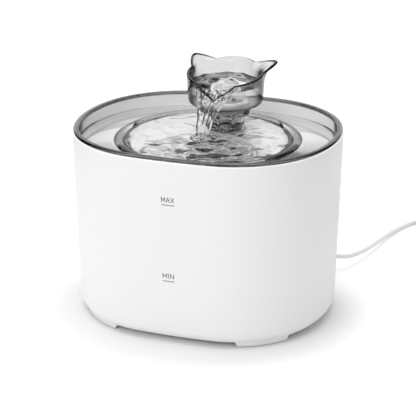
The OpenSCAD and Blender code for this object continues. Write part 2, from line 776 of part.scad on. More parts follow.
// Share of an ear at an angle from the front: 1 at its rounded tip and 0 beside it
function ear(t) = let (off = abs(t) - ear_angle)
    pow(max(0, 1 - (sqrt(off * off + ear_round * ear_round) - ear_round) / ear_sweep), 1.3);

// Height of the cup's rim at an angle from the front
function rim_z(t) = cup_z + cup_h - cup_rise * cos(t) + ear_rise * ear(t)
    - notch_depth * max(0, 1 - abs(t) / notch_sweep)
    - ear_dip * max(0, 1 - abs(abs(t) - ear_angle - ear_sweep) / ear_sweep);

// Radius of the cup's outside at an angle and a height
function cup_radius(t, z) = let (low = cup_z + cup_fillet, lean = max(0, 1 - (rim_z(t) - z) / ear_h))
    cup_low_r + (cup_r - cup_low_r) * (z - low) / (cup_h - cup_fillet)
        + ear_reach * ear(t) * pow(lean, 1.5);

// Section of the cup at an angle, as radius and height, from its hole round the outside and back
function cup_section(t) = let (
        low = cup_z + cup_fillet,
        top = rim_z(t),
        wall_levels = [for (f = [0, 0.3, 0.55, 0.75, 0.9]) low + f * (top - 0.6 - low)],
        inner_r = cup_fillet - cup_t,
        rim_r = cup_radius(t, top))
    concat(
        [[hub_r + 0.3, cup_z]],
        [for (a = [270, 300, 330]) [cup_low_r - cup_fillet + cup_fillet * cos(a), low + cup_fillet * sin(a)]],
        [for (z = wall_levels) [cup_radius(t, z), z]],
        [[rim_r, top - 0.6], [rim_r - 0.6, top], [rim_r - cup_t + 0.6, top], [rim_r - cup_t, top - 0.6]],
        [for (z = reverse(wall_levels)) [cup_radius(t, z) - cup_t, z]],
        [for (a = [330, 300, 270]) [cup_low_r - cup_fillet + inner_r * cos(a), low + inner_r * sin(a)]],
        [[hub_r + 0.3, cup_z + cup_t]]
    );

module spout_cup() color([0.45, 0.48, 0.5, 0.5]) {
    step = 4;
    n = 360 / step;
    m = len(cup_section(0));
    points = [for (i = [0 : n - 1]) let (t = i * step > 180 ? i * step - 360 : i * step)
        for (p = cup_section(t)) [p.x * sin(t), -p.x * cos(t), p.y]];
    translate([0, spout_y, 0]) polyhedron(points,
        [for (i = [0 : n - 1], j = [0 : m - 1]) [
            i * m + j, i * m + (j + 1) % m, (i + 1) % n * m + (j + 1) % m, (i + 1) % n * m + j
        ]]);
}

module cup_hub() color("gray") {
    translate([0, spout_y, 0]) rotate_extrude() polygon([
        [spigot_r + swivel_gap, ring_top], [hub_r + 2, ring_top], [hub_r + 2, cup_z],
        [hub_r, cup_z], [hub_r, hub_z], [hub_r + 2, hub_z], [hub_r + 2, hub_z + 1.2],
        [hub_r + 1.6, hub_z + 1.6], [spigot_r + swivel_gap, hub_z + 1.6]
    ]);
}

module cup_diffuser() color([0.45, 0.48, 0.5, 0.6]) {
    low = hub_z + 1.6;
    high = spigot_z + 5;
    translate([0, spout_y, 0]) difference() {
        rotate_extrude() polygon([
            [hub_r + 1.6, low], [hub_r + 1.6, high - 4], [hub_r - 1.2, high - 1.2], [hub_r - 5, high],
            [0, high], [0, high - 1.6], [hub_r - 5.4, high - 1.6], [hub_r - 2, high - 2.8],
            [hub_r, high - 5], [hub_r, low]
        ]);
        for (a = [0 : 45 : 135]) rotate([0, 0, a]) translate([0, 0, low + 3])
            cube([3 * hub_r, 3.2, 3], center = true);
    }
}

// ---- Cord ------------------------------------------------------------------------------

module cord_run() color("white") {
    swept_tube(CORD, cord_d / 2, [0, 0, 1]);
}

module cord_coil() color("white") {
    inner = coil_r - coil_cols * cord_d / 2;
    translate([coil_c.x, coil_c.y, 0]) rotate_extrude() polygon([
        [inner, 0], [inner + coil_cols * cord_d, 0],
        [inner + coil_cols * cord_d, (coil_rows + 1) * cord_d],
        [inner + (coil_cols - 1) * cord_d, (coil_rows + 1) * cord_d],
        [inner + (coil_cols - 1) * cord_d, coil_rows * cord_d], [inner, coil_rows * cord_d]
    ]);
}

module cord_tail() color("white") {
    swept_tube(TAIL, cord_d / 2, [0, 0, 1]);
}

module cord_tie() color("gray") {
    inner = coil_r - coil_cols * cord_d / 2 - 0.05;
    outer = coil_r + coil_cols * cord_d / 2 + 0.05;
    top = (coil_rows + 1) * cord_d + 0.05;
    translate([coil_c.x, coil_c.y, 0]) rotate_extrude(angle = 12, start = 250) polygon([
        [inner - 0.8, 0], [inner - 0.8, top + 0.8], [outer + 0.8, top + 0.8], [outer + 0.8, 0],
        [outer, 0], [outer, top], [inner, top], [inner, 0]
    ]);
}

module plug_grip() color("white") {
    translate([tail_end.x, tail_end.y, plug_h / 2]) rotate([90, 0, 0]) {
        cylinder(h = plug_neck_l, r1 = cord_d / 2 + 0.5, r2 = plug_h / 2 - 0.4);
        translate([0, 0, plug_neck_l]) linear_extrude(plug_l - plug_neck_l) rounded_rect(
            plug_w - 1.2, plug_h - 1.2, 2.2);
        for (k = [0 : 3]) translate([0, 0, plug_neck_l + 2 + 3 * k])
            linear_extrude(1.6) rounded_rect(plug_w, plug_h, 2.5);
    }
}

module plug_shell() color("silver") {
    translate([tail_end.x, tail_end.y - plug_l, plug_h / 2]) rotate([90, 0, 0]) linear_extrude(12)
        difference() {
            square([12, 4.5], center = true);
            translate([0, 0.6]) square([11.2, 2.4], center = true);
        }
}

tub();
base_cover();
foot_pad(0);  // foot_pad_1
foot_pad(1);  // foot_pad_2
foot_pad(2);  // foot_pad_3
foot_pad(3);  // foot_pad_4
cord_grommet();
floor_gland();
pump_lead();
pump_housing();
volute_cap();
impeller_shaft();
impeller_wheel();
rotor_magnet();
pump_cover();
pump_foam();
flow_slider();
pump_suction(0);  // pump_suction_1
pump_suction(1);  // pump_suction_2
pump_suction(2);  // pump_suction_3
pump_suction(3);  // pump_suction_4
riser_tube();
filter_deck();
filter_frame();
filter_media();
drinking_tray();
spout_stem();
stem_seal();
spout_cup();
cup_hub();
cup_diffuser();
cord_run();
cord_coil();
cord_tail();
cord_tie();
plug_grip();
plug_shell();
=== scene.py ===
"""Looks of the pet water fountain. Lengths are in millimetres until a mesh is made."""
import math

import bpy
import bmesh
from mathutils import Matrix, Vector, noise


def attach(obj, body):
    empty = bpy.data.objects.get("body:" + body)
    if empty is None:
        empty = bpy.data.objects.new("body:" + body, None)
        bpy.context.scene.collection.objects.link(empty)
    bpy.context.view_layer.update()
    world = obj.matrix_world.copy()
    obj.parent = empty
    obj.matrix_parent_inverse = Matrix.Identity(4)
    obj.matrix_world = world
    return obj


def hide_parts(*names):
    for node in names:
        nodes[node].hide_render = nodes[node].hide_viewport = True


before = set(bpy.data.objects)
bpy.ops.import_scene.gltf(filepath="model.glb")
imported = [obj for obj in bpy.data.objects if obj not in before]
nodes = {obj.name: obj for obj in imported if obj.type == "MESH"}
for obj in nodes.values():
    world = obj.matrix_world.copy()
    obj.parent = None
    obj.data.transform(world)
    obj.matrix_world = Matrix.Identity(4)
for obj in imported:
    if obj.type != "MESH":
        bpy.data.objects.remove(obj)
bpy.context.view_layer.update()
MM = 0.001

# ---- Sizes, as in the construction ------------------------------------------------------

TUB_W, TUB_D, TUB_H = 190.0, 161.0, 133.0
SIDE_R, END_R, CORNER_R = 400.0, 98.0, 71.0
WALL, DRAFT = 2.6, math.radians(1.5)
BASE_Z, BASE_FILLET, BASE_LIP = 3.0, 8.5, 3.8
FLOOR_Z, FLOOR_T, FLOOR_FILLET = 22.0, 3.0, 7.0
SHELF_Z, SHELF_W = 109.0, 1.6
FOOT_Z, FOOT_W, FOOT_SWEEP = 0.6, 7.7, math.radians(33)
TRAY_T, DECK_Z, RIM_H, RIM_INSET = 2.4, 125.0, 2.2, 0.7
TRAY_GAP, TRAY_WALL = 0.35, 1.7
BASIN_R, BASIN_Z, BASIN_TURN = 59.0, 115.0, 7.0
BEAD_H, BEAD_W = 2.0, 7.0
SPOUT_Y, BOSS_R, BOSS_Z, BORE_R = 38.0, 11.2, 131.0, 4.5
COLLAR_IN, COLLAR_OUT, COLLAR_LOW = 6.8, 9.0, 101.2
DRAIN_R, DRAIN_N, DRAIN_RING, DRAIN_Y = 2.5, 8, 22.0, -16.0
CUP_Z, CUP_R, CUP_LOW_R, CUP_T, CUP_FILLET = 140.5, 28.2, 27.2, 2.2, 4.0
CUP_H, CUP_RISE, NOTCH_DEPTH, NOTCH_SWEEP = 23.5, 4.0, 10.5, 32.0
EAR_ANGLE, EAR_SWEEP, EAR_ROUND = 124.0, 22.0, 5.0
EAR_REACH, EAR_RISE, EAR_DIP, EAR_H = 10.2, 3.0, 1.2, 8.0
HUB_HOLE_R = 10.5
LIP_R = 0.9
CUP_WATER_Z = 156.0
CORNERS = [(1, 1), (-1, 1), (1, -1), (-1, -1)]


def drift(z):
    """Inset of the leaning wall at height z."""
    return (TUB_H - z) * math.tan(DRAFT)


# ---- Camera -----------------------------------------------------------------------------

CAMERA_AT = (363.35, -1026.77, 480.87)
CAMERA_AZIMUTH, CAMERA_ELEVATION = 19.490, 20.545
CAMERA_LENS = 140.7


def make_camera():
    """The camera that matches the picture's view."""
    data = bpy.data.cameras.new("camera")
    data.lens = CAMERA_LENS
    data.sensor_width = 36
    data.clip_start, data.clip_end = 0.05, 20
    camera = bpy.data.objects.new("camera", data)
    bpy.context.scene.collection.objects.link(camera)
    camera.location = Vector(CAMERA_AT) * MM
    camera.rotation_euler = (
        math.radians(90 - CAMERA_ELEVATION), 0, math.radians(CAMERA_AZIMUTH))
    bpy.context.scene.camera = camera


make_camera()

# ---- Materials --------------------------------------------------------------------------


def new_material(name, color, roughness, **sockets):
    """A Principled material; sockets maps other socket names to their values."""
    material = bpy.data.materials.new(name)
    material.use_nodes = True
    shader = material.node_tree.nodes["Principled BSDF"]
    shader.inputs["Base Color"].default_value = (*color, 1)
    shader.inputs["Roughness"].default_value = roughness
    for socket, value in sockets.items():
        shader.inputs[socket.replace("_", " ")].default_value = value
    return material


def add_grain(material, scale, strength, distance):
    """A fine moulded surface: noise that drives a small bump."""
    tree = material.node_tree
    place = tree.nodes.new("ShaderNodeTexCoord")
    grain = tree.nodes.new("ShaderNodeTexNoise")
    grain.inputs["Scale"].default_value = scale
    grain.inputs["Detail"].default_value = 3.0
    bump = tree.nodes.new("ShaderNodeBump")
    bump.inputs["Strength"].default_value = strength
    bump.inputs["Distance"].default_value = distance
    tree.links.new(place.outputs["Object"], grain.inputs["Vector"])
    tree.links.new(grain.outputs["Fac"], bump.inputs["Height"])
    tree.links.new(bump.outputs["Normal"], tree.nodes["Principled BSDF"].inputs["Normal"])
    return material


def add_tint(material, scale, dark, light):
    """Slow colour variation between two colours."""
    tree = material.node_tree
    place = tree.nodes.new("ShaderNodeTexCoord")
    cloud = tree.nodes.new("ShaderNodeTexNoise")
    cloud.inputs["Scale"].default_value = scale
    ramp = tree.nodes.new("ShaderNodeValToRGB")
    ramp.color_ramp.elements[0].position = 0.3
    ramp.color_ramp.elements[0].color = (*dark, 1)
    ramp.color_ramp.elements[1].position = 0.7
    ramp.color_ramp.elements[1].color = (*light, 1)
    tree.links.new(place.outputs["Object"], cloud.inputs["Vector"])
    tree.links.new(cloud.outputs["Fac"], ramp.inputs["Fac"])
    tree.links.new(ramp.outputs["Color"], tree.nodes["Principled BSDF"].inputs["Base Color"])
    return material


def add_absorption(material, color, density):
    """Colour that deepens with the way through the plastic."""
    tree = material.node_tree
    volume = tree.nodes.new("ShaderNodeVolumeAbsorption")
    volume.inputs["Color"].default_value = (*color, 1)
    volume.inputs["Density"].default_value = density
    tree.links.new(volume.outputs["Volume"], tree.nodes["Material Output"].inputs["Volume"])
    return material


def add_painted_rim_shade(material, low, high, color):
    """Painted shade on clear plastic: darker towards a thick edge, between two heights in millimetres,
    beyond what its thickness absorbs.
    """
    tree = material.node_tree
    place = tree.nodes.new("ShaderNodeTexCoord")
    split = tree.nodes.new("ShaderNodeSeparateXYZ")
    rise = tree.nodes.new("ShaderNodeMapRange")
    rise.inputs["From Min"].default_value = low * MM
    rise.inputs["From Max"].default_value = high * MM
    ramp = tree.nodes.new("ShaderNodeValToRGB")
    ramp.color_ramp.elements[0].color = (1, 1, 1, 1)
    ramp.color_ramp.elements[1].color = (*color, 1)
    tree.links.new(place.outputs["Object"], split.inputs[0])
    tree.links.new(split.outputs["Z"], rise.inputs["Value"])
    tree.links.new(rise.outputs["Result"], ramp.inputs["Fac"])
    tree.links.new(ramp.outputs["Color"], tree.nodes["Principled BSDF"].inputs["Base Color"])
    return material


def add_painted_edge_shade(material, light, dark):
    """Painted shade: plastic that is darker where the mesh's own "edge" value rises to 1."""
    tree = material.node_tree
    edge = tree.nodes.new("ShaderNodeAttribute")
    edge.attribute_name = "edge"
    ramp = tree.nodes.new("ShaderNodeValToRGB")
    ramp.color_ramp.elements[0].color = (*light, 1)
    ramp.color_ramp.elements[1].color = (*dark, 1)
    tree.links.new(edge.outputs["Fac"], ramp.inputs["Fac"])
    tree.links.new(ramp.outputs["Color"], tree.nodes["Principled BSDF"].inputs["Base Color"])
    return material


def add_painted_grazing_shade(material, low, high, color, ring=None, upright=False):
    """Clear material with painted shade where its surface is seen at a flat angle: its colour darkens
    there into dark edges.

    With a ring, two radii in millimetres about the object's axis, only between those.
    With upright, only on walls that stand, and not on level surfaces.
    """
    tree = material.node_tree
    base = tree.nodes["Principled BSDF"].inputs["Base Color"]
    facing = tree.nodes.new("ShaderNodeLayerWeight")
    facing.inputs["Blend"].default_value = 0.5
    ramp = tree.nodes.new("ShaderNodeValToRGB")
    ramp.color_ramp.interpolation = "EASE"
    ramp.color_ramp.elements[0].position = low
    ramp.color_ramp.elements[0].color = (1, 1, 1, 1)
    ramp.color_ramp.elements[1].position = high
    ramp.color_ramp.elements[1].color = (*color, 1)
    both = tree.nodes.new("ShaderNodeMix")
    both.data_type, both.blend_type = "RGBA", "MULTIPLY"
    both.inputs["Factor"].default_value = 1
    if ring:
        place = tree.nodes.new("ShaderNodeTexCoord")
        flat = tree.nodes.new("ShaderNodeVectorMath")
        flat.operation = "MULTIPLY"
        flat.inputs[1].default_value = (1, 1, 0)
        radius = tree.nodes.new("ShaderNodeVectorMath")
        radius.operation = "LENGTH"
        off = tree.nodes.new("ShaderNodeMath")
        off.operation = "SUBTRACT"
        off.inputs[1].default_value = (ring[0] + ring[1]) / 2 * MM
        size = tree.nodes.new("ShaderNodeMath")
        size.operation = "ABSOLUTE"
        inside = tree.nodes.new("ShaderNodeMapRange")
        half, soft = (ring[1] - ring[0]) / 2 * MM, 0.8 * MM
        inside.inputs["From Min"].default_value = half
        inside.inputs["From Max"].default_value = half - soft
        tree.links.new(place.outputs["Object"], flat.inputs[0])
        tree.links.new(flat.outputs["Vector"], radius.inputs[0])
        tree.links.new(radius.outputs["Value"], off.inputs[0])
        tree.links.new(off.outputs["Value"], size.inputs[0])
        tree.links.new(size.outputs["Value"], inside.inputs["Value"])
        tree.links.new(inside.outputs["Result"], both.inputs["Factor"])
    if upright:
        place = tree.nodes.new("ShaderNodeTexCoord")
        split = tree.nodes.new("ShaderNodeSeparateXYZ")
        level = tree.nodes.new("ShaderNodeMath")
        level.operation = "ABSOLUTE"
        stands = tree.nodes.new("ShaderNodeMapRange")
        stands.inputs["From Min"].default_value = 0.9
        stands.inputs["From Max"].default_value = 0.5
        tree.links.new(place.outputs["Normal"], split.inputs[0])
        tree.links.new(split.outputs["Z"], level.inputs[0])
        tree.links.new(level.outputs["Value"], stands.inputs["Value"])
        tree.links.new(stands.outputs["Result"], both.inputs["Factor"])
    tree.links.new(facing.outputs["Facing"], ramp.inputs["Fac"])
    if base.links:
        tree.links.new(base.links[0].from_socket, both.inputs["A"])
    else:
        both.inputs["A"].default_value = base.default_value
    tree.links.new(ramp.outputs["Color"], both.inputs["B"])
    tree.links.new(both.outputs["Result"], base)
    return material


def add_wet_index(material, low, high, wet_index):
    """Clear plastic that stands in water above a height, where its index is the one against water."""
    tree = material.node_tree
    shader = tree.nodes["Principled BSDF"]
    place = tree.nodes.new("ShaderNodeTexCoord")
    split = tree.nodes.new("ShaderNodeSeparateXYZ")
    rise = tree.nodes.new("ShaderNodeMapRange")
    rise.inputs["From Min"].default_value = low * MM
    rise.inputs["From Max"].default_value = high * MM
    rise.inputs["To Min"].default_value = shader.inputs["IOR"].default_value
    rise.inputs["To Max"].default_value = wet_index
    tree.links.new(place.outputs["Object"], split.inputs[0])
    tree.links.new(split.outputs["Z"], rise.inputs["Value"])
    tree.links.new(rise.outputs["Result"], shader.inputs["IOR"])
    return material


TUB_WHITE = add_grain(new_material("tub_white", (0.84, 0.84, 0.84), 0.42), 900, 0.08, 0.0002)
# Painted shade: a darker grey for the tub's inner wall under the tray
TUB_INSIDE_PAINTED_SHADE = add_grain(new_material("tub_inside_painted_shade", (0.66, 0.66, 0.66), 0.5), 900, 0.08, 0.0002)
DECK_WHITE = add_grain(new_material("deck_white", (0.7, 0.71, 0.72), 0.5), 700, 0.1, 0.0002)
# Clear plastic with painted shade: a darkened rim at the tub's top, dark edges at flat angles, and more
# painted shade on the bead round the basin
CLEAR = add_painted_grazing_shade(add_painted_grazing_shade(add_painted_rim_shade(add_absorption(
    new_material("clear_plastic", (1.0, 1.0, 1.0), 0.0, IOR=1.5, Transmission_Weight=1.0),
    (0.62, 0.63, 0.65), 40), TUB_H - 0.6, TUB_H + 0.6, (0.09, 0.092, 0.097)),
    0.71, 0.79, (0.03, 0.032, 0.035)),
    0.42, 0.72, (0.07, 0.07, 0.075), ring=(BASIN_R - 0.5, BASIN_R + BEAD_W + 1))
# Smoked plastic with painted shade on the cup: dark lines at its lip and foot, a darker upper wall, and
# dark edges at flat angles
SMOKE_PAINTED_SHADE = add_painted_grazing_shade(add_painted_edge_shade(add_absorption(
    new_material("smoke_plastic", (0.97, 0.965, 0.96), 0.0, IOR=1.5, Transmission_Weight=1.0),
    (0.42, 0.4, 0.39), 90), (0.98, 0.975, 0.97), (0.005, 0.005, 0.005)),
    0.2, 0.62, (0.004, 0.004, 0.004), upright=True)
THICK_SMOKE = add_wet_index(add_absorption(
    new_material("thick_smoke", (0.95, 0.95, 0.95), 0.02, IOR=1.45, Transmission_Weight=1.0),
    (0.42, 0.4, 0.4), 60), CUP_Z - 0.3, CUP_Z, 1.01)
# Milky plastic that stands in water, so that it bends no light there
MILKY = add_grain(new_material("milky", (0.95, 0.95, 0.95), 0.3, Alpha=0.5), 300, 0.05, 0.0002)
THIN_MILKY = add_grain(new_material("thin_milky", (0.9, 0.9, 0.9), 0.2, Alpha=0.2), 300, 0.05, 0.0002)
# Water with painted shade where its surface is seen at a flat angle
WATER = add_painted_grazing_shade(
    new_material("water", (1.0, 1.0, 1.0), 0.0, IOR=1.333, Transmission_Weight=1.0),
    0.7, 0.83, (0.15, 0.15, 0.155))
GREY = add_grain(new_material("grey_plastic", (0.3, 0.31, 0.32), 0.45), 700, 0.1, 0.0002)
PUMP_BLACK = add_grain(new_material("pump_black", (0.03, 0.03, 0.033), 0.5), 900, 0.25, 0.0003)
SILICONE = add_tint(new_material("silicone", (0.6, 0.61, 0.62), 0.6), 60, (0.5, 0.51, 0.52),
                    (0.58, 0.59, 0.6))
FOAM = add_grain(new_material("foam", (0.03, 0.035, 0.04), 0.9), 700, 1.0, 0.001)
FLEECE = add_grain(new_material("fleece", (0.35, 0.36, 0.34), 0.95), 1500, 0.8, 0.0008)
MAGNET = add_grain(new_material("magnet", (0.02, 0.02, 0.02), 0.6), 500, 0.3, 0.0002)
STEEL = add_grain(new_material("steel", (0.6, 0.6, 0.6), 0.25, Metallic=1.0), 900, 0.1, 0.0001)
JACKET = add_grain(new_material("jacket", (0.84, 0.84, 0.84), 0.45), 900, 0.1, 0.0002)
FLAG = new_material("flag", (0.01, 0.01, 0.01), 1.0)
INK = add_grain(new_material("ink", (0.04, 0.04, 0.04), 0.6), 900, 0.05, 0.0001)
LINE_INK = add_grain(new_material("line_ink", (0.28, 0.28, 0.28), 0.6), 900, 0.05, 0.0001)

NODE_MATERIALS = {
    "base_cover": DECK_WHITE, "filter_deck": DECK_WHITE, "filter_frame": DECK_WHITE,
    "foot_pad_1": SILICONE, "foot_pad_2": SILICONE, "foot_pad_3": SILICONE, "foot_pad_4": SILICONE,
    "cord_grommet": JACKET, "floor_gland": SILICONE, "pump_lead": JACKET,
    "pump_housing": PUMP_BLACK, "volute_cap": GREY, "impeller_shaft": STEEL,
    "impeller_wheel": DECK_WHITE, "rotor_magnet": MAGNET,
    "pump_cover": PUMP_BLACK, "pump_foam": FOAM, "flow_slider": GREY,
    "pump_suction_1": SILICONE, "pump_suction_2": SILICONE,
    "pump_suction_3": SILICONE, "pump_suction_4": SILICONE,
    "riser_tube": SILICONE, "filter_media": FLEECE,
    "drinking_tray": CLEAR, "spout_stem": THICK_SMOKE, "stem_seal": PUMP_BLACK,
    "spout_cup": SMOKE_PAINTED_SHADE, "cup_hub": MILKY, "cup_diffuser": THIN_MILKY,
    "cord_tie": GREY, "plug_grip": JACKET, "plug_shell": STEEL,
}
for node_name, node_material in NODE_MATERIALS.items():
    for material_slot in nodes[node_name].material_slots:
        material_slot.material = node_material


def let_light_through(piece):
    """What is clear or wet neither shades nor dims what lies under it."""
    piece.visible_shadow = False
    piece.visible_diffuse = False


for node_name in ("cup_hub", "cup_diffuser"):
    let_light_through(nodes[node_name])

# ---- Mesh helpers -----------------------------------------------------------------------


def add_mesh(name, points, faces, material, sharp=35):
    """An object from points in millimetres, smooth but for edges sharper than an angle."""
    mesh = bpy.data.meshes.new(name)
    mesh.from_pydata([tuple(c * MM for c in p) for p in points], [], faces)
    piece = bpy.data.objects.new(name, mesh)
    bpy.context.scene.collection.objects.link(piece)
    mesh.materials.append(material)
    work = bmesh.new()
    work.from_mesh(mesh)
    bmesh.ops.recalc_face_normals(work, faces=work.faces)
    work.to_mesh(mesh)
    work.free()
    for polygon in mesh.polygons:
        polygon.use_smooth = True
    mesh.set_sharp_from_angle(angle=math.radians(sharp))
    return piece


def skin(rings, along=False, caps=False):
    """Points and quads through closed rings of equal length, joined end to end or capped."""
    n, m = len(rings[0]), len(rings)
    points = [p for ring in rings for p in ring]
    faces = [
        (j * n + i, j * n + (i + 1) % n, (j + 1) % m * n + (i + 1) % n, (j + 1) % m * n + i)
        for j in range(m if along else m - 1) for i in range(n)]
    if caps:
        faces += [tuple(reversed(range(n))), tuple(range((m - 1) * n, m * n))]
    return points, faces


def arc(centre, radius, start, end, steps):
    """Points of an arc in a profile; angles in degrees."""
    return [
        (centre[0] + radius * math.cos(math.radians(start + (end - start) * k / steps)),
         centre[1] + radius * math.sin(math.radians(start + (end - start) * k / steps)))
        for k in range(steps + 1)]


def modify(piece, kind, **settings):
    """Adds one modifier and applies it to the mesh."""
    modifier = piece.modifiers.new(kind.lower(), kind)
    for key, value in settings.items():
        setattr(modifier, key, value)
    graph = bpy.context.evaluated_depsgraph_get()
    made = bpy.data.meshes.new_from_object(piece.evaluated_get(graph))
    old = piece.data
    piece.modifiers.clear()
    piece.data = made
    made.name = old.name
    bpy.data.meshes.remove(old)


def cut(piece, tool, operation="DIFFERENCE"):
    """Boolean of a piece with a tool, which is then removed."""
    modify(piece, "BOOLEAN", object=tool, operation=operation, solver="EXACT")
    bpy.data.objects.remove(tool)


# ---- The oval ---------------------------------------------------------------------------


def oval_arcs():
    """The eight tangent arcs, each (centre, radius, start angle, sweep) in radians."""
    end_c, side_c = TUB_W / 2 - END_R, TUB_D / 2 - SIDE_R
    end_reach, side_reach = END_R - CORNER_R, SIDE_R - CORNER_R
    arm = math.hypot(end_c, side_c)
    along = (end_reach ** 2 - side_reach ** 2 + arm ** 2) / (2 * arm)
    across = math.sqrt(end_reach ** 2 - along ** 2)
    ux, uy = -end_c / arm, side_c / arm
    cx, cy = end_c + along * ux - across * uy, along * uy + across * ux
    end_a, side_a = math.atan2(cy, cx - end_c), math.atan2(cy - side_c, cx)
    turn, pi = side_a - end_a, math.pi
    return (cx, cy), [
        ((end_c, 0), END_R, -end_a, 2 * end_a, 24),
        ((cx, cy), CORNER_R, end_a, turn, 40),
        ((0, side_c), SIDE_R, side_a, pi - 2 * side_a, 16),
        ((-cx, cy), CORNER_R, pi - side_a, turn, 40),
        ((-end_c, 0), END_R, pi - end_a, 2 * end_a, 24),
        ((-cx, -cy), CORNER_R, pi + end_a, turn, 40),
        ((0, -side_c), SIDE_R, pi + side_a, pi - 2 * side_a, 16),
        ((cx, -cy), CORNER_R, 2 * pi - side_a, turn, 40)], (end_a + side_a) / 2


CORNER_C, ARCS, CORNER_MID = oval_arcs()


def oval(inset):
    """Points of the oval, drawn in by an inset."""
    points = []
    for centre, radius, start, sweep, steps in ARCS:
        for k in range(steps):
            a = start + sweep * k / steps
            points.append((centre[0] + (radius - inset) * math.cos(a),
                           centre[1] + (radius - inset) * math.sin(a)))
    return points


def oval_ring(inset, z):
    """The oval as a ring at a height."""
    return [(x, y, z) for x, y in oval(inset)]


def round_ring(radius, z, centre=(0.0, 0.0)):
    """A circle with one point on the ray to each point of the oval."""
    ring = []
    for x, y in oval(0):
        reach = math.hypot(x, y)
        ring.append((centre[0] + radius * x / reach, centre[1] + radius * y / reach, z))
    return ring


def foot_curve(inset, z, radius, steps):
    """Rounded foot of the leaning wall, as (inset, height) from the underside up."""
    centre = (inset + drift(z + radius) + radius / math.cos(DRAFT), z + radius)
    return arc(centre, radius, 270, 180 + math.degrees(DRAFT), steps)


# ---- Tub --------------------------------------------------------------------------------

LIP_IN = drift(BASE_Z + BASE_FILLET) + BASE_FILLET + BASE_LIP
TUB_EDGE = 0.8
INNER_EDGE = 0.3
FLOOR_INSET = 30


def make_tub():
    """The tub in one skin, from the underside up the outside, over the edge and down inside."""
    inner = WALL + SHELF_W
    profile = [(LIP_IN, BASE_Z)]
    profile += foot_curve(0, BASE_Z, BASE_FILLET, 12)
    profile += [(drift(z), z) for z in (30, 60, 90, 120)]
    profile += [(TUB_EDGE * (1 - math.cos(a)), TUB_H - TUB_EDGE * (1 - math.sin(a)))
                for a in [math.pi / 8 * k for k in range(5)]]
    profile += [(WALL - INNER_EDGE, TUB_H), (WALL, TUB_H - INNER_EDGE)]
    profile += [(WALL + drift(DECK_Z - 2), DECK_Z - 2), (WALL + drift(SHELF_Z), SHELF_Z)]
    profile += [(inner + drift(SHELF_Z) - INNER_EDGE, SHELF_Z)]
    profile += [(inner + drift(SHELF_Z), SHELF_Z - INNER_EDGE)]
    profile += list(reversed(foot_curve(inner, FLOOR_Z, FLOOR_FILLET, 8)))
    rings = [oval_ring(inset, z) for inset, z in profile]
    rings.append(oval_ring(FLOOR_INSET, FLOOR_Z))
    rings.append(oval_ring(FLOOR_INSET, FLOOR_Z - FLOOR_T))
    rings.append(oval_ring(WALL + drift(FLOOR_Z - FLOOR_T), FLOOR_Z - FLOOR_T))
    rings += [oval_ring(i, z) for i, z in
              reversed(foot_curve(WALL, BASE_Z + WALL, BASE_FILLET - WALL, 8))]
    rings.append(oval_ring(LIP_IN, BASE_Z + WALL))
    points, faces = skin(rings, along=True)
    n = len(rings[0])
    floor_top = len(profile) * n
    faces = [f for f in faces if not (floor_top <= f[0] < floor_top + n)]
    faces.append(tuple(range(floor_top, floor_top + n)))
    faces.append(tuple(reversed(range(floor_top + n, floor_top + 2 * n))))
    tub = add_mesh("tub_shell", points, faces, TUB_WHITE)
    tub.data.materials.append(TUB_INSIDE_PAINTED_SHADE)
    # Painted shade on the inner wall, from the floor up to just under the tray's deck
    for polygon in tub.data.polygons:
        x, y, z = polygon.center / MM
        faces_in = polygon.normal.x * x + polygon.normal.y * y < 0
        if faces_in and polygon.normal.z < 0.5 and FLOOR_Z < z < DECK_Z - 2:
            polygon.material_index = 1
    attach(tub, "reservoir")
    low = CORNER_R - LIP_IN + 0.4
    for index, (sx, sy) in enumerate(CORNERS):
        make_foot(f"foot_{index + 1}", sx, sy, low, low + FOOT_W)
    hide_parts("tub")


def make_foot(name, sx, sy, r0, r1):
    """A low foot whose two ends slope up into the underside."""
    half = FOOT_SWEEP / 2
    slope = 2.4 / 60
    levels = [(FOOT_Z, 0.5, -slope * 0.3), (FOOT_Z + 0.5, 0, 0), (BASE_Z + 2.6, 0, slope)]
    rings = []
    steps = 24
    for z, inset, spread in levels:
        outside, inside = [], []
        for k in range(steps + 1):
            a = CORNER_MID + (half + spread) * (2 * k / steps - 1)
            for ring, r in ((outside, r1 - inset), (inside, r0 + inset)):
                ring.append((sx * (CORNER_C[0] + r * math.cos(a)),
                             sy * (CORNER_C[1] + r * math.sin(a)), z))
        rings.append(outside + inside[::-1])
    foot = add_mesh(name, *skin(rings, caps=True), TUB_WHITE, sharp=50)
    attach(foot, "reservoir")


# ---- Screws of the base cover -----------------------------------------------------------

SCREW_X, SCREW_Y, COVER_T = 55.0, 33.0, 2.2


def block_tool(x, y, z, centre):
    """A block of three sizes about a centre, for a cut."""
    rings = [[(centre[0] + sx * x / 2, centre[1] + sy * y / 2, centre[2] + sz * z / 2)
              for sx, sy in ((-1, -1), (1, -1), (1, 1), (-1, 1))] for sz in (-1, 1)]
    return add_mesh("tool", *skin(rings, caps=True), STEEL)


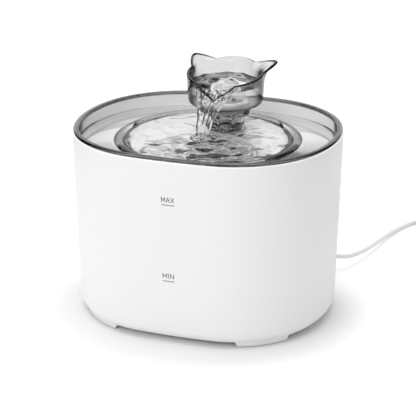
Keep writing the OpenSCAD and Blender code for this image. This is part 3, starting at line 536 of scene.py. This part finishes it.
def make_screws():
    """Pan heads with cross recesses, sunk in the wells under the base, with their shanks."""
    seat = BASE_Z + COVER_T / 2
    slot_l, slot_w, slot_h = 3.0, 0.6, 1.4
    profile = [(1.6, seat - 1.0), (2.4, seat - 0.85), (2.8, seat - 0.5), (2.9, seat - 0.1),
               (2.9, seat), (1.25, seat), (1.25, seat + 8), (0.5, seat + 9)]
    for index, (sx, sy) in enumerate(CORNERS):
        x0, y0 = sx * SCREW_X, sy * SCREW_Y
        rings = [[(x0 + r * math.cos(math.pi * k / 16), y0 + r * math.sin(math.pi * k / 16), z)
                  for k in range(32)] for r, z in profile]
        screw = add_mesh(f"base_screw_{index + 1}", *skin(rings, caps=True), STEEL, sharp=40)
        cut(screw, block_tool(slot_l, slot_w, slot_h, (x0, y0, seat - 1.0)))
        cut(screw, block_tool(slot_w, slot_l, slot_h, (x0, y0, seat - 1.0)))
        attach(screw, "reservoir")


# ---- Drinking tray ----------------------------------------------------------------------

TRAY_IN = WALL + drift(DECK_Z - TRAY_T) + TRAY_GAP
RIM_R = 1.3
MIDDLE_R = 20


def cylinder_tool(radius, z0, z1, centre, segments=64):
    """An upright cylinder between two heights, for a cut or a join."""
    ring = [(centre[0] + radius * math.cos(2 * math.pi * k / segments),
             centre[1] + radius * math.sin(2 * math.pi * k / segments)) for k in range(segments)]
    rings = [[(x, y, z) for x, y in ring] for z in (z0, z1)]
    return add_mesh("tool", *skin(rings, caps=True), CLEAR)


def make_tray():
    """From the middle of the underside out to the wall, over the rim and back to the middle."""
    inner = TRAY_IN + TRAY_WALL
    top = TUB_H + RIM_H
    rings = [round_ring(MIDDLE_R, BASIN_Z - TRAY_T)]
    under = arc((BASIN_R - BASIN_TURN, BASIN_Z + BASIN_TURN), BASIN_TURN + TRAY_T, -90, 0, 10)
    rings += [round_ring(r, z) for r, z in under if z < DECK_Z - TRAY_T - 0.4]
    rings += [round_ring(BASIN_R + TRAY_T + 0.1, DECK_Z - TRAY_T - 0.1)]
    rings += [round_ring(BASIN_R + TRAY_T + 1.5, DECK_Z - TRAY_T)]
    rings += [oval_ring(TRAY_IN + 1.2, DECK_Z - TRAY_T)]
    rings += [oval_ring(TRAY_IN + 0.3, DECK_Z - TRAY_T + 0.3)]
    rings += [oval_ring(TRAY_IN, DECK_Z - TRAY_T + 1.2), oval_ring(TRAY_IN, TUB_H - 0.3)]
    rings += [oval_ring(TRAY_IN - 0.3, TUB_H), oval_ring(RIM_INSET + 0.4, TUB_H)]
    rings += [oval_ring(RIM_INSET, TUB_H + 0.4)]
    rim = arc((RIM_INSET + RIM_R, top - RIM_R), RIM_R, 180, 90, 8)
    rim += arc((inner - RIM_R, top - RIM_R), RIM_R, 90, 0, 8)
    rings += [oval_ring(i, z) for i, z in rim]
    rings += [oval_ring(inner + 0.25, DECK_Z + 2.4)]
    rings += [oval_ring(i, z) for i, z in arc((inner + 2.5, DECK_Z + 2.2), 2.2, 180, 270, 8)]
    middle = BASIN_R + BEAD_W / 2
    radius = (BEAD_H ** 2 + BEAD_W ** 2 / 4) / (2 * BEAD_H)
    span = math.degrees(math.asin(BEAD_W / 2 / radius))
    rings += [round_ring(BASIN_R + BEAD_W + 1.2, DECK_Z)]
    rings += [round_ring(BASIN_R + BEAD_W + 0.4, DECK_Z + 0.1)]
    rings += [round_ring(r, z) for r, z in
              arc((middle, DECK_Z + BEAD_H - radius), radius, 90 - span, 90 + span, 14)]
    bowl = arc((BASIN_R - BASIN_TURN, BASIN_Z + BASIN_TURN), BASIN_TURN, 0, -90, 12)
    rings += [round_ring(r, z) for r, z in bowl]
    rings += [round_ring(MIDDLE_R, BASIN_Z)]
    tray = add_mesh("tray_shell", *skin(rings, caps=True), CLEAR, sharp=40)
    axis = (0, SPOUT_Y)
    cut(tray, cylinder_tool(BOSS_R, BASIN_Z - TRAY_T / 2, BOSS_Z, axis), "UNION")
    cut(tray, cylinder_tool(COLLAR_OUT, COLLAR_LOW, BASIN_Z - TRAY_T / 2, axis), "UNION")
    cut(tray, cylinder_tool(COLLAR_IN, COLLAR_LOW - 5, BASIN_Z - TRAY_T, axis))
    cut(tray, cylinder_tool(BORE_R, COLLAR_LOW, BOSS_Z + 5, axis))
    for k in range(DRAIN_N):
        a = 2 * math.pi * (k + 0.5) / DRAIN_N
        place = (DRAIN_RING * math.cos(a), DRAIN_Y + DRAIN_RING * math.sin(a))
        cut(tray, cylinder_tool(DRAIN_R, BASIN_Z - 3 * TRAY_T, BASIN_Z + 2 * TRAY_T, place, 24))
    for polygon in tray.data.polygons:
        polygon.use_smooth = True
    tray.data.set_sharp_from_angle(angle=math.radians(40))
    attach(tray, "tray")
    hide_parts("drinking_tray")
    let_light_through(tray)


# ---- Spout and cup ----------------------------------------------------------------------


def signed(t):
    """An angle in degrees brought between -180 and 180."""
    return (t + 180) % 360 - 180


def ear(t):
    """Share of an ear at an angle from the front: 1 at its rounded tip and 0 beside it."""
    off = abs(signed(t)) - EAR_ANGLE
    return max(0.0, 1 - (math.hypot(off, EAR_ROUND) - EAR_ROUND) / EAR_SWEEP) ** 1.3


def rim_z(t):
    """Height of the cup's rim: raised at the back and the ears, with the notch in front."""
    t = signed(t)
    dip = max(0.0, 1 - abs(abs(t) - EAR_ANGLE - EAR_SWEEP) / EAR_SWEEP)
    return (CUP_Z + CUP_H - CUP_RISE * math.cos(math.radians(t)) + EAR_RISE * ear(t)
            - NOTCH_DEPTH * max(0.0, 1 - abs(t) / NOTCH_SWEEP) - EAR_DIP * dip)


def cup_wall(z):
    """Radius of the cup's outside without its ears."""
    low = CUP_Z + CUP_FILLET
    return CUP_LOW_R + (CUP_R - CUP_LOW_R) * (z - low) / (CUP_H - CUP_FILLET)


def cup_radius(t, z):
    """Radius of the cup's outside, which leans out under the ears."""
    lean = max(0.0, 1 - (rim_z(t) - z) / EAR_H)
    return cup_wall(z) + EAR_REACH * ear(t) * lean ** 1.5


def upper_painted_shade(z):
    """Painted shade: the wall's colour darkens up to the water's level and stays so above it."""
    return 0.22 * max(0.0, min(1.0, (z - (CUP_WATER_Z - 6)) / 6))


def cup_section(t):
    """Section of the cup at an angle from the front, as (radius, height, painted edge shade)."""
    low, top = CUP_Z + CUP_FILLET, rim_z(t)
    middle = CUP_LOW_R - CUP_FILLET
    levels = [low + f * (top - 1.2 - low) for f in (0, 0.15, 0.3, 0.45, 0.6, 0.7, 0.8, 0.9, 1)]
    # Painted shade on the lip: full at the front and sides, less towards the back
    edge = 0.3 + 0.7 * max(0.0, min(1.0, (150 - abs(signed(t))) / 20))
    rim_r = cup_radius(t, top)
    lip = arc((rim_r - LIP_R, top - LIP_R), LIP_R, 0, 90, 4)
    lip += arc((rim_r - CUP_T + LIP_R, top - LIP_R), LIP_R, 90, 180, 4)
    section = [(HUB_HOLE_R, CUP_Z, 0)]
    # Painted shade: a dark line along the rounded turn at the foot
    turn_painted_shades = (0, 0.4, 1, 1, 1, 1, 0.6, 0.1, 0)
    turn = arc((middle, low), CUP_FILLET, 270, 350, len(turn_painted_shades) - 1)
    section += [(r, z, shade) for (r, z), shade in zip(turn, turn_painted_shades)]
    section += [(cup_radius(t, z), z, upper_painted_shade(z)) for z in levels]
    section += [(r, z, edge) for r, z in lip]
    section += [(cup_radius(t, z) - CUP_T, z, upper_painted_shade(z)) for z in reversed(levels)]
    section += [(r, z, 0) for r, z in arc((middle, low), CUP_FILLET - CUP_T, 350, 270, 6)]
    section += [(HUB_HOLE_R, CUP_Z + CUP_T, 0)]
    return section


def make_cup():
    """The cup's section turned about its axis, with its painted shades as the mesh's "edge" value."""
    rings = []
    count = 360
    for i in range(count):
        t = 360 * i / count
        s, c = math.sin(math.radians(t)), math.cos(math.radians(t))
        rings.append([(r * s, SPOUT_Y - r * c, z) for r, z, shade in cup_section(t)])
    cup = add_mesh("cup_shell", *skin(rings, along=True), SMOKE_PAINTED_SHADE, sharp=50)
    edge = cup.data.attributes.new("edge", "FLOAT", "POINT")
    edge.data.foreach_set("value", [
        float(shade) for i in range(count) for r, z, shade in cup_section(360 * i / count)])
    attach(cup, "cup")
    let_light_through(cup)
    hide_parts("spout_cup")


# ---- Water ------------------------------------------------------------------------------

WATER_Z = 125.9
ROUGH_AT = (6.0, -23.0)


def ripple(x, y):
    """Height of the water's surface above its level: swell and chop, finer round one place."""
    far = math.hypot(x - ROUGH_AT[0], y - ROUGH_AT[1])
    near = math.exp(-far / 30)
    wx = x + 12 * noise.noise(Vector((x * 0.05, y * 0.05, 11.0)))
    wy = y + 12 * noise.noise(Vector((x * 0.05, y * 0.05, 17.0)))
    swell = 1.2 * noise.noise(Vector((wx * 0.06, wy * 0.055, 3.1)))
    chop = 0.42 * noise.noise(Vector((wx * 0.13, wy * 0.12, 7.7)))
    rings = 0.25 * math.sin(far * 0.5 - 0.6) * near
    fine = 0.18 * near * noise.noise(Vector((x * 0.25, y * 0.25, 1.3)))
    return swell + chop + rings + fine


def make_basin_water():
    """A closed body whose sides and bottom lie just inside the plastic."""
    count, steps = 256, 90
    sink = 0.1
    edge_r = BASIN_R + sink
    rings = []
    for j in range(steps):
        r = 1 + (edge_r - 1) * j / (steps - 1)
        fade = min(1.0, (edge_r - r) / 6 + 0.25)
        ring = []
        for i in range(count):
            a = 2 * math.pi * i / count
            x, y = r * math.cos(a), r * math.sin(a)
            ring.append((x, y, WATER_Z + fade * ripple(x, y)))
        rings.append(ring)
    side = arc((BASIN_R - BASIN_TURN, BASIN_Z + BASIN_TURN), BASIN_TURN + sink, 0, -90, 8)
    for r, z in side:
        rings.append([(r * math.cos(2 * math.pi * i / count), r * math.sin(2 * math.pi * i / count), z)
                      for i in range(count)])
    water = add_mesh("basin_water", *skin(rings, caps=True), WATER, sharp=60)
    cut(water, cylinder_tool(BOSS_R - sink, BASIN_Z - 5, WATER_Z + 9, (0, SPOUT_Y)))
    for polygon in water.data.polygons:
        polygon.use_smooth = True
    water.data.set_sharp_from_angle(angle=math.radians(60))
    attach(water, "tray")
    let_light_through(water)


def cup_water_z(x, y):
    """Height of the water in the cup, welling up over the outlet and running to the notch."""
    r = math.hypot(x, y)
    well = 4.5 * math.exp(-((x - 5) ** 2 + (y + 2) ** 2) / 70) + 4.5 * math.exp(
        -((x + 11) ** 2 + (y - 1) ** 2) / 32)
    chop = 1.6 * noise.noise(Vector((x * 0.12, y * 0.14, 5.0)))
    run = -3.0 * math.exp(-(x / 9) ** 2) * max(0.0, min(1.0, (-y - 10) / 16))
    return CUP_WATER_Z + well * max(0.0, 1 - r / 30) + chop * min(1.0, (32 - r) / 12) + run


def make_cup_water():
    """A closed body that fills the cup up to its surface and the notch."""
    count, steps = 160, 40
    sink = 0.1
    rings = []
    for j in range(steps):
        f = j / (steps - 1)
        ring = []
        for i in range(count):
            t = 360 * i / count
            s, c = math.sin(math.radians(t)), math.cos(math.radians(t))
            wall_r = cup_wall(CUP_WATER_Z - 1) - CUP_T + sink
            r = 0.5 + (wall_r - 0.5) * f
            x, y = r * s, -r * c
            z = min(cup_water_z(x, y), rim_z(t) - 0.4 + 12 * (1 - f))
            ring.append((x, SPOUT_Y + y, z))
        rings.append(ring)
    for r, z in arc((CUP_LOW_R - CUP_FILLET, CUP_Z + CUP_FILLET), CUP_FILLET - CUP_T + sink, 0, -90, 5):
        rings.append([(r * math.sin(2 * math.pi * i / count),
                       SPOUT_Y - r * math.cos(2 * math.pi * i / count), z) for i in range(count)])
    water = add_mesh("cup_water", *skin(rings, caps=True), WATER, sharp=70)
    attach(water, "cup")
    let_light_through(water)


def blob_tube(work, path, radii, sides=12):
    """Adds a tube of varying radius to a mesh in the making."""
    rings = []
    for i, (at, radius) in enumerate(zip(path, radii)):
        at = Vector(at)
        ahead = Vector(path[min(i + 1, len(path) - 1)]) - Vector(path[max(i - 1, 0)])
        ahead.normalize()
        u = ahead.cross(Vector((0, 0.2, 1))).normalized()
        if u.length < 0.5:
            u = Vector((1, 0, 0))
        v = ahead.cross(u)
        rings.append([work.verts.new((at + radius * (math.cos(2 * math.pi * k / sides) * u
                                      + math.sin(2 * math.pi * k / sides) * v)) * MM)
                      for k in range(sides)])
    for a, b in zip(rings, rings[1:]):
        for k in range(sides):
            work.faces.new((a[k], a[(k + 1) % sides], b[(k + 1) % sides], b[k]))
    work.faces.new(list(reversed(rings[0])))
    work.faces.new(rings[-1])


def smooth_path(points, steps):
    """A smooth curve through points, each span divided into steps."""
    out = []
    last = len(points) - 1
    for i in range(last):
        a, b, c, d = (Vector(points[min(max(i + k, 0), last)]) for k in (-1, 0, 1, 2))
        for k in range(steps):
            t = k / steps
            out.append(0.5 * (2 * b + (c - a) * t + (2 * a - 5 * b + 4 * c - d) * t * t
                              + (3 * b - a - 3 * c + d) * t ** 3))
    out.append(Vector(points[-1]))
    return out


SPAN_STEPS = 6

# Strands of the falling water: points from the cup to the basin, with radii
STRANDS = [
    ([(-12.5, 16.5, 156.5), (-11, 12.4, 154), (-9.6, 9.4, 150), (-8.8, 7, 144), (-8.4, 4.4, 135),
      (-8.2, 2.4, 125.5)], [1.8, 2.2, 2.2, 1.8, 1.6, 2.2]),
    ([(-6, 18, 155), (-5, 11.5, 152), (-3.4, 8.3, 148), (-3.4, 6, 141), (-5.2, 3.4, 132),
      (-5.6, 1.4, 125.5)], [1.8, 2.4, 2.4, 1.7, 1.6, 2.2]),
    ([(0, 19, 154), (-1.5, 11, 151), (-4.4, 7.6, 147.5), (-6.4, 5.6, 141), (-7.2, 3.4, 132),
      (-6.6, 1, 125.5)], [1.8, 2.6, 2.4, 1.6, 1.5, 2.2]),
    ([(6, 18, 155), (5.2, 11.4, 152), (3.0, 8.2, 148), (-0.2, 6.4, 141), (-2.8, 4.4, 132),
      (-3.8, 3, 125.5)], [1.8, 2.4, 2.2, 1.6, 1.4, 2.0]),
    ([(12, 16.5, 157), (10.6, 12.4, 154.5), (8.0, 9.4, 150.4), (4.2, 7.4, 144), (0.4, 5.4, 136),
      (-2.4, 4.2, 125.5)], [1.5, 2.1, 2.1, 1.6, 1.3, 1.8]),
]


def fuse_water(name, work, body):
    """One smooth body of water from the overlapping blobs of a mesh in the making."""
    mesh = bpy.data.meshes.new(name)
    work.to_mesh(mesh)
    work.free()
    piece = bpy.data.objects.new(name, mesh)
    bpy.context.scene.collection.objects.link(piece)
    mesh.materials.append(WATER)
    modify(piece, "REMESH", mode="VOXEL", voxel_size=0.4 * MM)
    modify(piece, "SMOOTH", factor=0.5, iterations=4)
    for polygon in piece.data.polygons:
        polygon.use_smooth = True
    if not piece.data.materials:
        piece.data.materials.append(WATER)
    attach(piece, body)
    let_light_through(piece)


def make_stream():
    """The strands fused into one fall of water, which turns with the cup."""
    work = bmesh.new()
    for points, radii in STRANDS:
        path = smooth_path(points, SPAN_STEPS)
        fine = []
        for i in range(len(path)):
            at = i / SPAN_STEPS
            k = min(int(at), len(radii) - 2)
            fine.append(radii[k] + (radii[k + 1] - radii[k]) * (at - k)
                        + 0.25 * math.sin(i * 1.3 + points[0][0]))
        blob_tube(work, path, fine)
    fuse_water("stream", work, "cup")


def make_splash():
    """Bubbles and lumps where the stream lands, which stay with the basin."""
    work = bmesh.new()
    blobs = 26
    for k in range(blobs):
        a, reach = 2.4 * k, 2 + 9 * ((k * 0.618) % 1)
        x, y = -4.5 + 0.9 * reach * math.cos(a), -4 + 1.1 * reach * math.sin(a)
        size = 0.9 + 1.5 * ((k * 0.37) % 1)
        blob = bmesh.ops.create_icosphere(work, subdivisions=2, radius=size * MM)
        for vert in blob["verts"]:
            vert.co += Vector((x, y, WATER_Z - 0.2)) * MM
    fuse_water("splash", work, "tray")


# ---- Level marks ------------------------------------------------------------------------


def front_y(x, z):
    """Y of the tub's front face at a place."""
    radius = SIDE_R - drift(z)
    return (SIDE_R - TUB_D / 2) - math.sqrt(radius ** 2 - x ** 2)


# Letters as strokes on a grid one unit high
LETTERS = {
    "M": (0.86, [[(0, 0), (0, 1), (0.43, 0.25), (0.86, 1), (0.86, 0)]]),
    "A": (0.8, [[(0, 0), (0.4, 1), (0.8, 0)], [(0.14, 0.34), (0.66, 0.34)]]),
    "X": (0.76, [[(0, 0), (0.76, 1)], [(0, 1), (0.76, 0)]]),
    "I": (0.1, [[(0.05, 0), (0.05, 1)]]),
    "N": (0.74, [[(0, 0), (0, 1), (0.74, 0), (0.74, 1)]]),
}


def stroke_faces(points, faces, line, width, place):
    """Adds a flat stroke along a line of 2-D points; place maps them onto the tub."""
    half = width / 2
    for a, b in zip(line, line[1:]):
        ax, az = a
        bx, bz = b
        length = math.hypot(bx - ax, bz - az)
        dx, dz = (bx - ax) / length * half, (bz - az) / length * half
        corners = [(ax - dx + dz, az - dz - dx), (bx + dx + dz, bz + dz - dx),
                   (bx + dx - dz, bz + dz + dx), (ax - dx - dz, az - dz + dx)]
        start = len(points)
        points.extend(place(x, z) for x, z in corners)
        faces.append((start, start + 1, start + 2, start + 3))


LETTER_GAP, STROKE, LINE_T = 0.34, 0.42, 0.7
INK_T = 0.06


def make_mark(name, word, left, right, low, high, line_z):
    """A word between two heights over a line, printed on the front."""
    def place(x, z):
        return (x, front_y(x, z) - INK_T, z)
    height = high - low
    total = sum(LETTERS[c][0] for c in word) + LETTER_GAP * (len(word) - 1)
    stretch = (right - left) / (total * height)
    points, faces = [], []
    x = left
    for c in word:
        width, lines = LETTERS[c]
        for line in lines:
            stroke_faces(points, faces, [(x + px * height * stretch, low + pz * height)
                                         for px, pz in line], STROKE, place)
        x += (width + LETTER_GAP) * height * stretch
    letters = add_mesh(name + "_word", points, faces, INK)
    points, faces = [], []
    parts = 8
    line_l, line_x = right - left + 0.35, left - 0.05
    low_z, high_z = line_z - LINE_T / 2, line_z + LINE_T / 2
    for k in range(parts):
        a, b = line_x + line_l * k / parts, line_x + line_l * (k + 1) / parts
        start = len(points)
        points += [place(a, low_z), place(b, low_z), place(b, high_z), place(a, high_z)]
        faces.append((start, start + 1, start + 2, start + 3))
    line = add_mesh(name + "_line", points, faces, LINE_INK)
    for piece in (letters, line):
        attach(piece, "reservoir")


# ---- Cord -------------------------------------------------------------------------------

CORD_D = 3.4
CORD = [
    (66.5, 79, 13.5), (69.2, 83.2, 13), (73, 88, 11.6), (77.9, 93.6, 9.9), (81.8, 100.4, 8.6),
    (85, 110.5, 7.4), (87.8, 123, 6.2), (90.1, 137.8, 5), (92.4, 153.3, 3.9), (94.9, 168, 2.9),
    (97.9, 180.7, 2.2), (101.5, 191.7, 1.8), (105.6, 200.2, 1.7), (109.5, 206, 1.7),
    (115, 214.2, 1.7)]
TAIL = [
    (170.8, 199, 8.1), (170.8, 190, 6.3), (170.8, 180, 4.2), (170.8, 170, 3.2),
    (170.8, 160, 3.4), (170.8, 152, 4), (170.8, 146, 4)]
COIL_C, COIL_R, COIL_COLS = (143.6, 208.1), 20.4, 5
COIL_ENTRY = 146.7
COIL_LAST = 2 * COIL_COLS - 1
COIL_TURNS = COIL_LAST + COIL_ENTRY / 360


def coil_point(turn):
    """The winding: inward on the floor, up at the middle, outward on top, up at the outside."""
    inner = COIL_R - (COIL_COLS - 1) / 2 * CORD_D
    number = min(int(turn), COIL_LAST)
    s = turn - number
    rise = s ** 4 * (35 - 84 * s + 70 * s ** 2 - 20 * s ** 3)
    ease_out = math.sqrt(max(0.0, 2 * rise - rise ** 2))
    last = math.sqrt(max(0.0, 2 * ease_out - ease_out ** 2))
    if number < COIL_COLS - 1:
        step = COIL_COLS - 2 - number + math.sqrt(max(0.0, 1 - rise ** 2))
        r, z = inner + CORD_D * step, 0
    elif number == COIL_COLS - 1:
        r, z = inner, rise
    elif number < COIL_LAST:
        r, z = inner + CORD_D * (number - COIL_COLS + ease_out), 1
    else:
        r, z = inner + (COIL_COLS - 1) * CORD_D, 1 + last
    a = math.radians(COIL_ENTRY - 360 * turn)
    return (COIL_C[0] + r * math.cos(a), COIL_C[1] + r * math.sin(a), CORD_D * (0.5 + z))


def make_cord():
    """The cord in one piece: the chosen points, the coil's turns and the tail to the plug."""
    per_turn = 24
    steps = int(COIL_TURNS * per_turn)
    route = [Vector(p) for p in CORD]
    route += [Vector(coil_point(COIL_TURNS * k / steps)) for k in range(steps + 1)]
    route += [Vector(p) for p in TAIL]
    data = bpy.data.curves.new("cord", "CURVE")
    data.dimensions = "3D"
    spline = data.splines.new("BEZIER")
    spline.bezier_points.add(len(route) - 1)
    for point, at in zip(spline.bezier_points, route):
        point.co = at * MM
        point.handle_left_type = point.handle_right_type = "AUTO"
    spline.resolution_u = 4
    data.bevel_depth = CORD_D / 2 * MM
    data.bevel_resolution = 5
    data.use_fill_caps = True
    data.materials.append(JACKET)
    cord = bpy.data.objects.new("cord", data)
    bpy.context.scene.collection.objects.link(cord)
    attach(cord, "reservoir")
    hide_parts("cord_run", "cord_coil", "cord_tail")


# ---- Floor and light --------------------------------------------------------------------


def make_floor():
    """White paper that takes the object's shadow, with a painted glow that lifts the shadow away from
    the tub.
    """
    reach = 4000
    points = [(-reach, -reach, 0), (reach, -reach, 0), (reach, reach, 0), (-reach, reach, 0)]
    floor = add_mesh("floor", points, [(0, 1, 2, 3)], DECK_WHITE)
    material = bpy.data.materials.new("floor_white")
    material.use_nodes = True
    tree = material.node_tree
    tree.nodes.remove(tree.nodes["Principled BSDF"])
    diffuse = tree.nodes.new("ShaderNodeBsdfDiffuse")
    diffuse.inputs["Color"].default_value = (0.84, 0.84, 0.84, 1)
    glow = tree.nodes.new("ShaderNodeEmission")
    path = tree.nodes.new("ShaderNodeLightPath")
    seen = tree.nodes.new("ShaderNodeMath")
    seen.operation = "MAXIMUM"
    seen_too = tree.nodes.new("ShaderNodeMath")
    seen_too.operation = "MAXIMUM"
    # Painted light: the paper glows up to full white away from the tub, which lifts the shadow there
    # and keeps it beside the tub
    place = tree.nodes.new("ShaderNodeTexCoord")
    outline = tree.nodes.new("ShaderNodeVectorMath")
    outline.operation = "MULTIPLY_ADD"
    outline.inputs[1].default_value = (2 / (TUB_W * MM), 2 / (TUB_D * MM), 0)
    outline.inputs[2].default_value = (0.05, 0.25, 0)
    away = tree.nodes.new("ShaderNodeVectorMath")
    away.operation = "LENGTH"
    sweep = tree.nodes.new("ShaderNodeMapRange")
    sweep.interpolation_type = "SMOOTHSTEP"
    sweep.inputs["From Min"].default_value = 0.95
    sweep.inputs["From Max"].default_value = 1.5
    sweep.inputs["To Max"].default_value = 0.25
    level = tree.nodes.new("ShaderNodeMath")
    level.operation = "MULTIPLY"
    both = tree.nodes.new("ShaderNodeAddShader")
    tree.links.new(place.outputs["Object"], outline.inputs[0])
    tree.links.new(outline.outputs["Vector"], away.inputs[0])
    tree.links.new(away.outputs["Value"], sweep.inputs["Value"])
    tree.links.new(sweep.outputs["Result"], level.inputs[1])
    tree.links.new(path.outputs["Is Camera Ray"], seen.inputs[0])
    tree.links.new(path.outputs["Is Glossy Ray"], seen.inputs[1])
    tree.links.new(seen.outputs[0], seen_too.inputs[0])
    tree.links.new(path.outputs["Is Transmission Ray"], seen_too.inputs[1])
    tree.links.new(seen_too.outputs[0], level.inputs[0])
    tree.links.new(level.outputs[0], glow.inputs["Strength"])
    tree.links.new(diffuse.outputs[0], both.inputs[0])
    tree.links.new(glow.outputs[0], both.inputs[1])
    tree.links.new(both.outputs[0], tree.nodes["Material Output"].inputs["Surface"])
    floor.data.materials[0] = material


# The studio as glass shows it: a white backdrop, a softbox at the left and dark between
BACKDROP = (-0.30, 0.93, 0.20)
SOFTBOX = (-0.62, -0.35, 0.70)
BACKDROP_EDGE, SOFTBOX_EDGE = (0.72, 0.84), (0.84, 0.90)
DARK_LEVEL, SKY_LEVEL = 0.06, 0.7


def make_world():
    """White to the camera, an even sky for light, and the studio for gloss and glass."""
    world = bpy.data.worlds.new("studio")
    bpy.context.scene.world = world
    world.use_nodes = True
    tree = world.node_tree
    background = tree.nodes["Background"]
    background.inputs["Color"].default_value = (1, 1, 1, 1)
    place = tree.nodes.new("ShaderNodeTexCoord")

    def math_node(kind, a, b):
        node = tree.nodes.new("ShaderNodeMath")
        node.operation = kind
        for socket, value in zip(node.inputs, (a, b)):
            if isinstance(value, (int, float)):
                socket.default_value = value
            else:
                tree.links.new(value, socket)
        return node.outputs[0]

    def toward(direction, edge):
        """1 near a direction, falling to 0 between the two cosines of its edge."""
        dot = tree.nodes.new("ShaderNodeVectorMath")
        dot.operation = "DOT_PRODUCT"
        dot.inputs[1].default_value = Vector(direction).normalized()
        tree.links.new(place.outputs["Generated"], dot.inputs[0])
        level = tree.nodes.new("ShaderNodeMapRange")
        level.interpolation_type = "SMOOTHSTEP"
        level.inputs["From Min"].default_value, level.inputs["From Max"].default_value = edge
        tree.links.new(dot.outputs["Value"], level.inputs["Value"])
        return level.outputs["Result"]

    path = tree.nodes.new("ShaderNodeLightPath")
    shown = math_node("MAXIMUM", toward(BACKDROP, BACKDROP_EDGE), toward(SOFTBOX, SOFTBOX_EDGE))
    shown = math_node("MAXIMUM", shown, DARK_LEVEL)
    in_glass = math_node(
        "MAXIMUM", path.outputs["Is Glossy Ray"], path.outputs["Is Transmission Ray"])
    level = math_node("MULTIPLY", in_glass, shown)
    level = math_node("ADD", level, path.outputs["Is Camera Ray"])
    sky = math_node("SUBTRACT", 1.0, math_node("MAXIMUM", in_glass, path.outputs["Is Camera Ray"]))
    level = math_node("ADD", level, math_node("MULTIPLY", sky, SKY_LEVEL))
    tree.links.new(level, background.inputs["Strength"])


LAMP_AIM = (0, 0, 60)


def make_lamp(name, at, size, power):
    """A square lamp that points at the object's middle."""
    data = bpy.data.lights.new(name, "AREA")
    data.shape = "SQUARE"
    data.size = size * MM
    data.energy = power
    lamp = bpy.data.objects.new(name, data)
    bpy.context.scene.collection.objects.link(lamp)
    lamp.location = Vector(at) * MM
    lamp.rotation_euler = (Vector(LAMP_AIM) - Vector(at)).to_track_quat("-Z", "Y").to_euler()


def make_card(name, x, y0, y1, height):
    """A dark upright flag beside the object, seen only in what is clear or glossy."""
    card = add_mesh(name, [(x, y0, 0.1), (x, y1, 0.1), (x, y1, height), (x, y0, height)],
                    [(0, 1, 2, 3)], FLAG)
    card.visible_camera = False
    card.visible_diffuse = False
    card.visible_shadow = False


# ---- Build ------------------------------------------------------------------------------

make_cord()
make_tub()
make_screws()
make_tray()
make_cup()
make_basin_water()
make_cup_water()
make_stream()
make_splash()
make_mark("max", "MAX", -4.75, 4.05, 104.8, 108.0, 102.65)
make_mark("min", "MIN", -4.8, 3.1, 49.3, 52.5, 47.05)
make_floor()
make_world()
make_card("flag_left", -420, -1000, 230, 420)
make_card("flag_right", 420, -200, 1160, 420)
make_lamp("key", (-150, 0, 1500), 1200, 11)
make_lamp("fill", (-650, -1350, 900), 900, 6.7)

bpy.context.scene.view_settings.view_transform = "Standard"
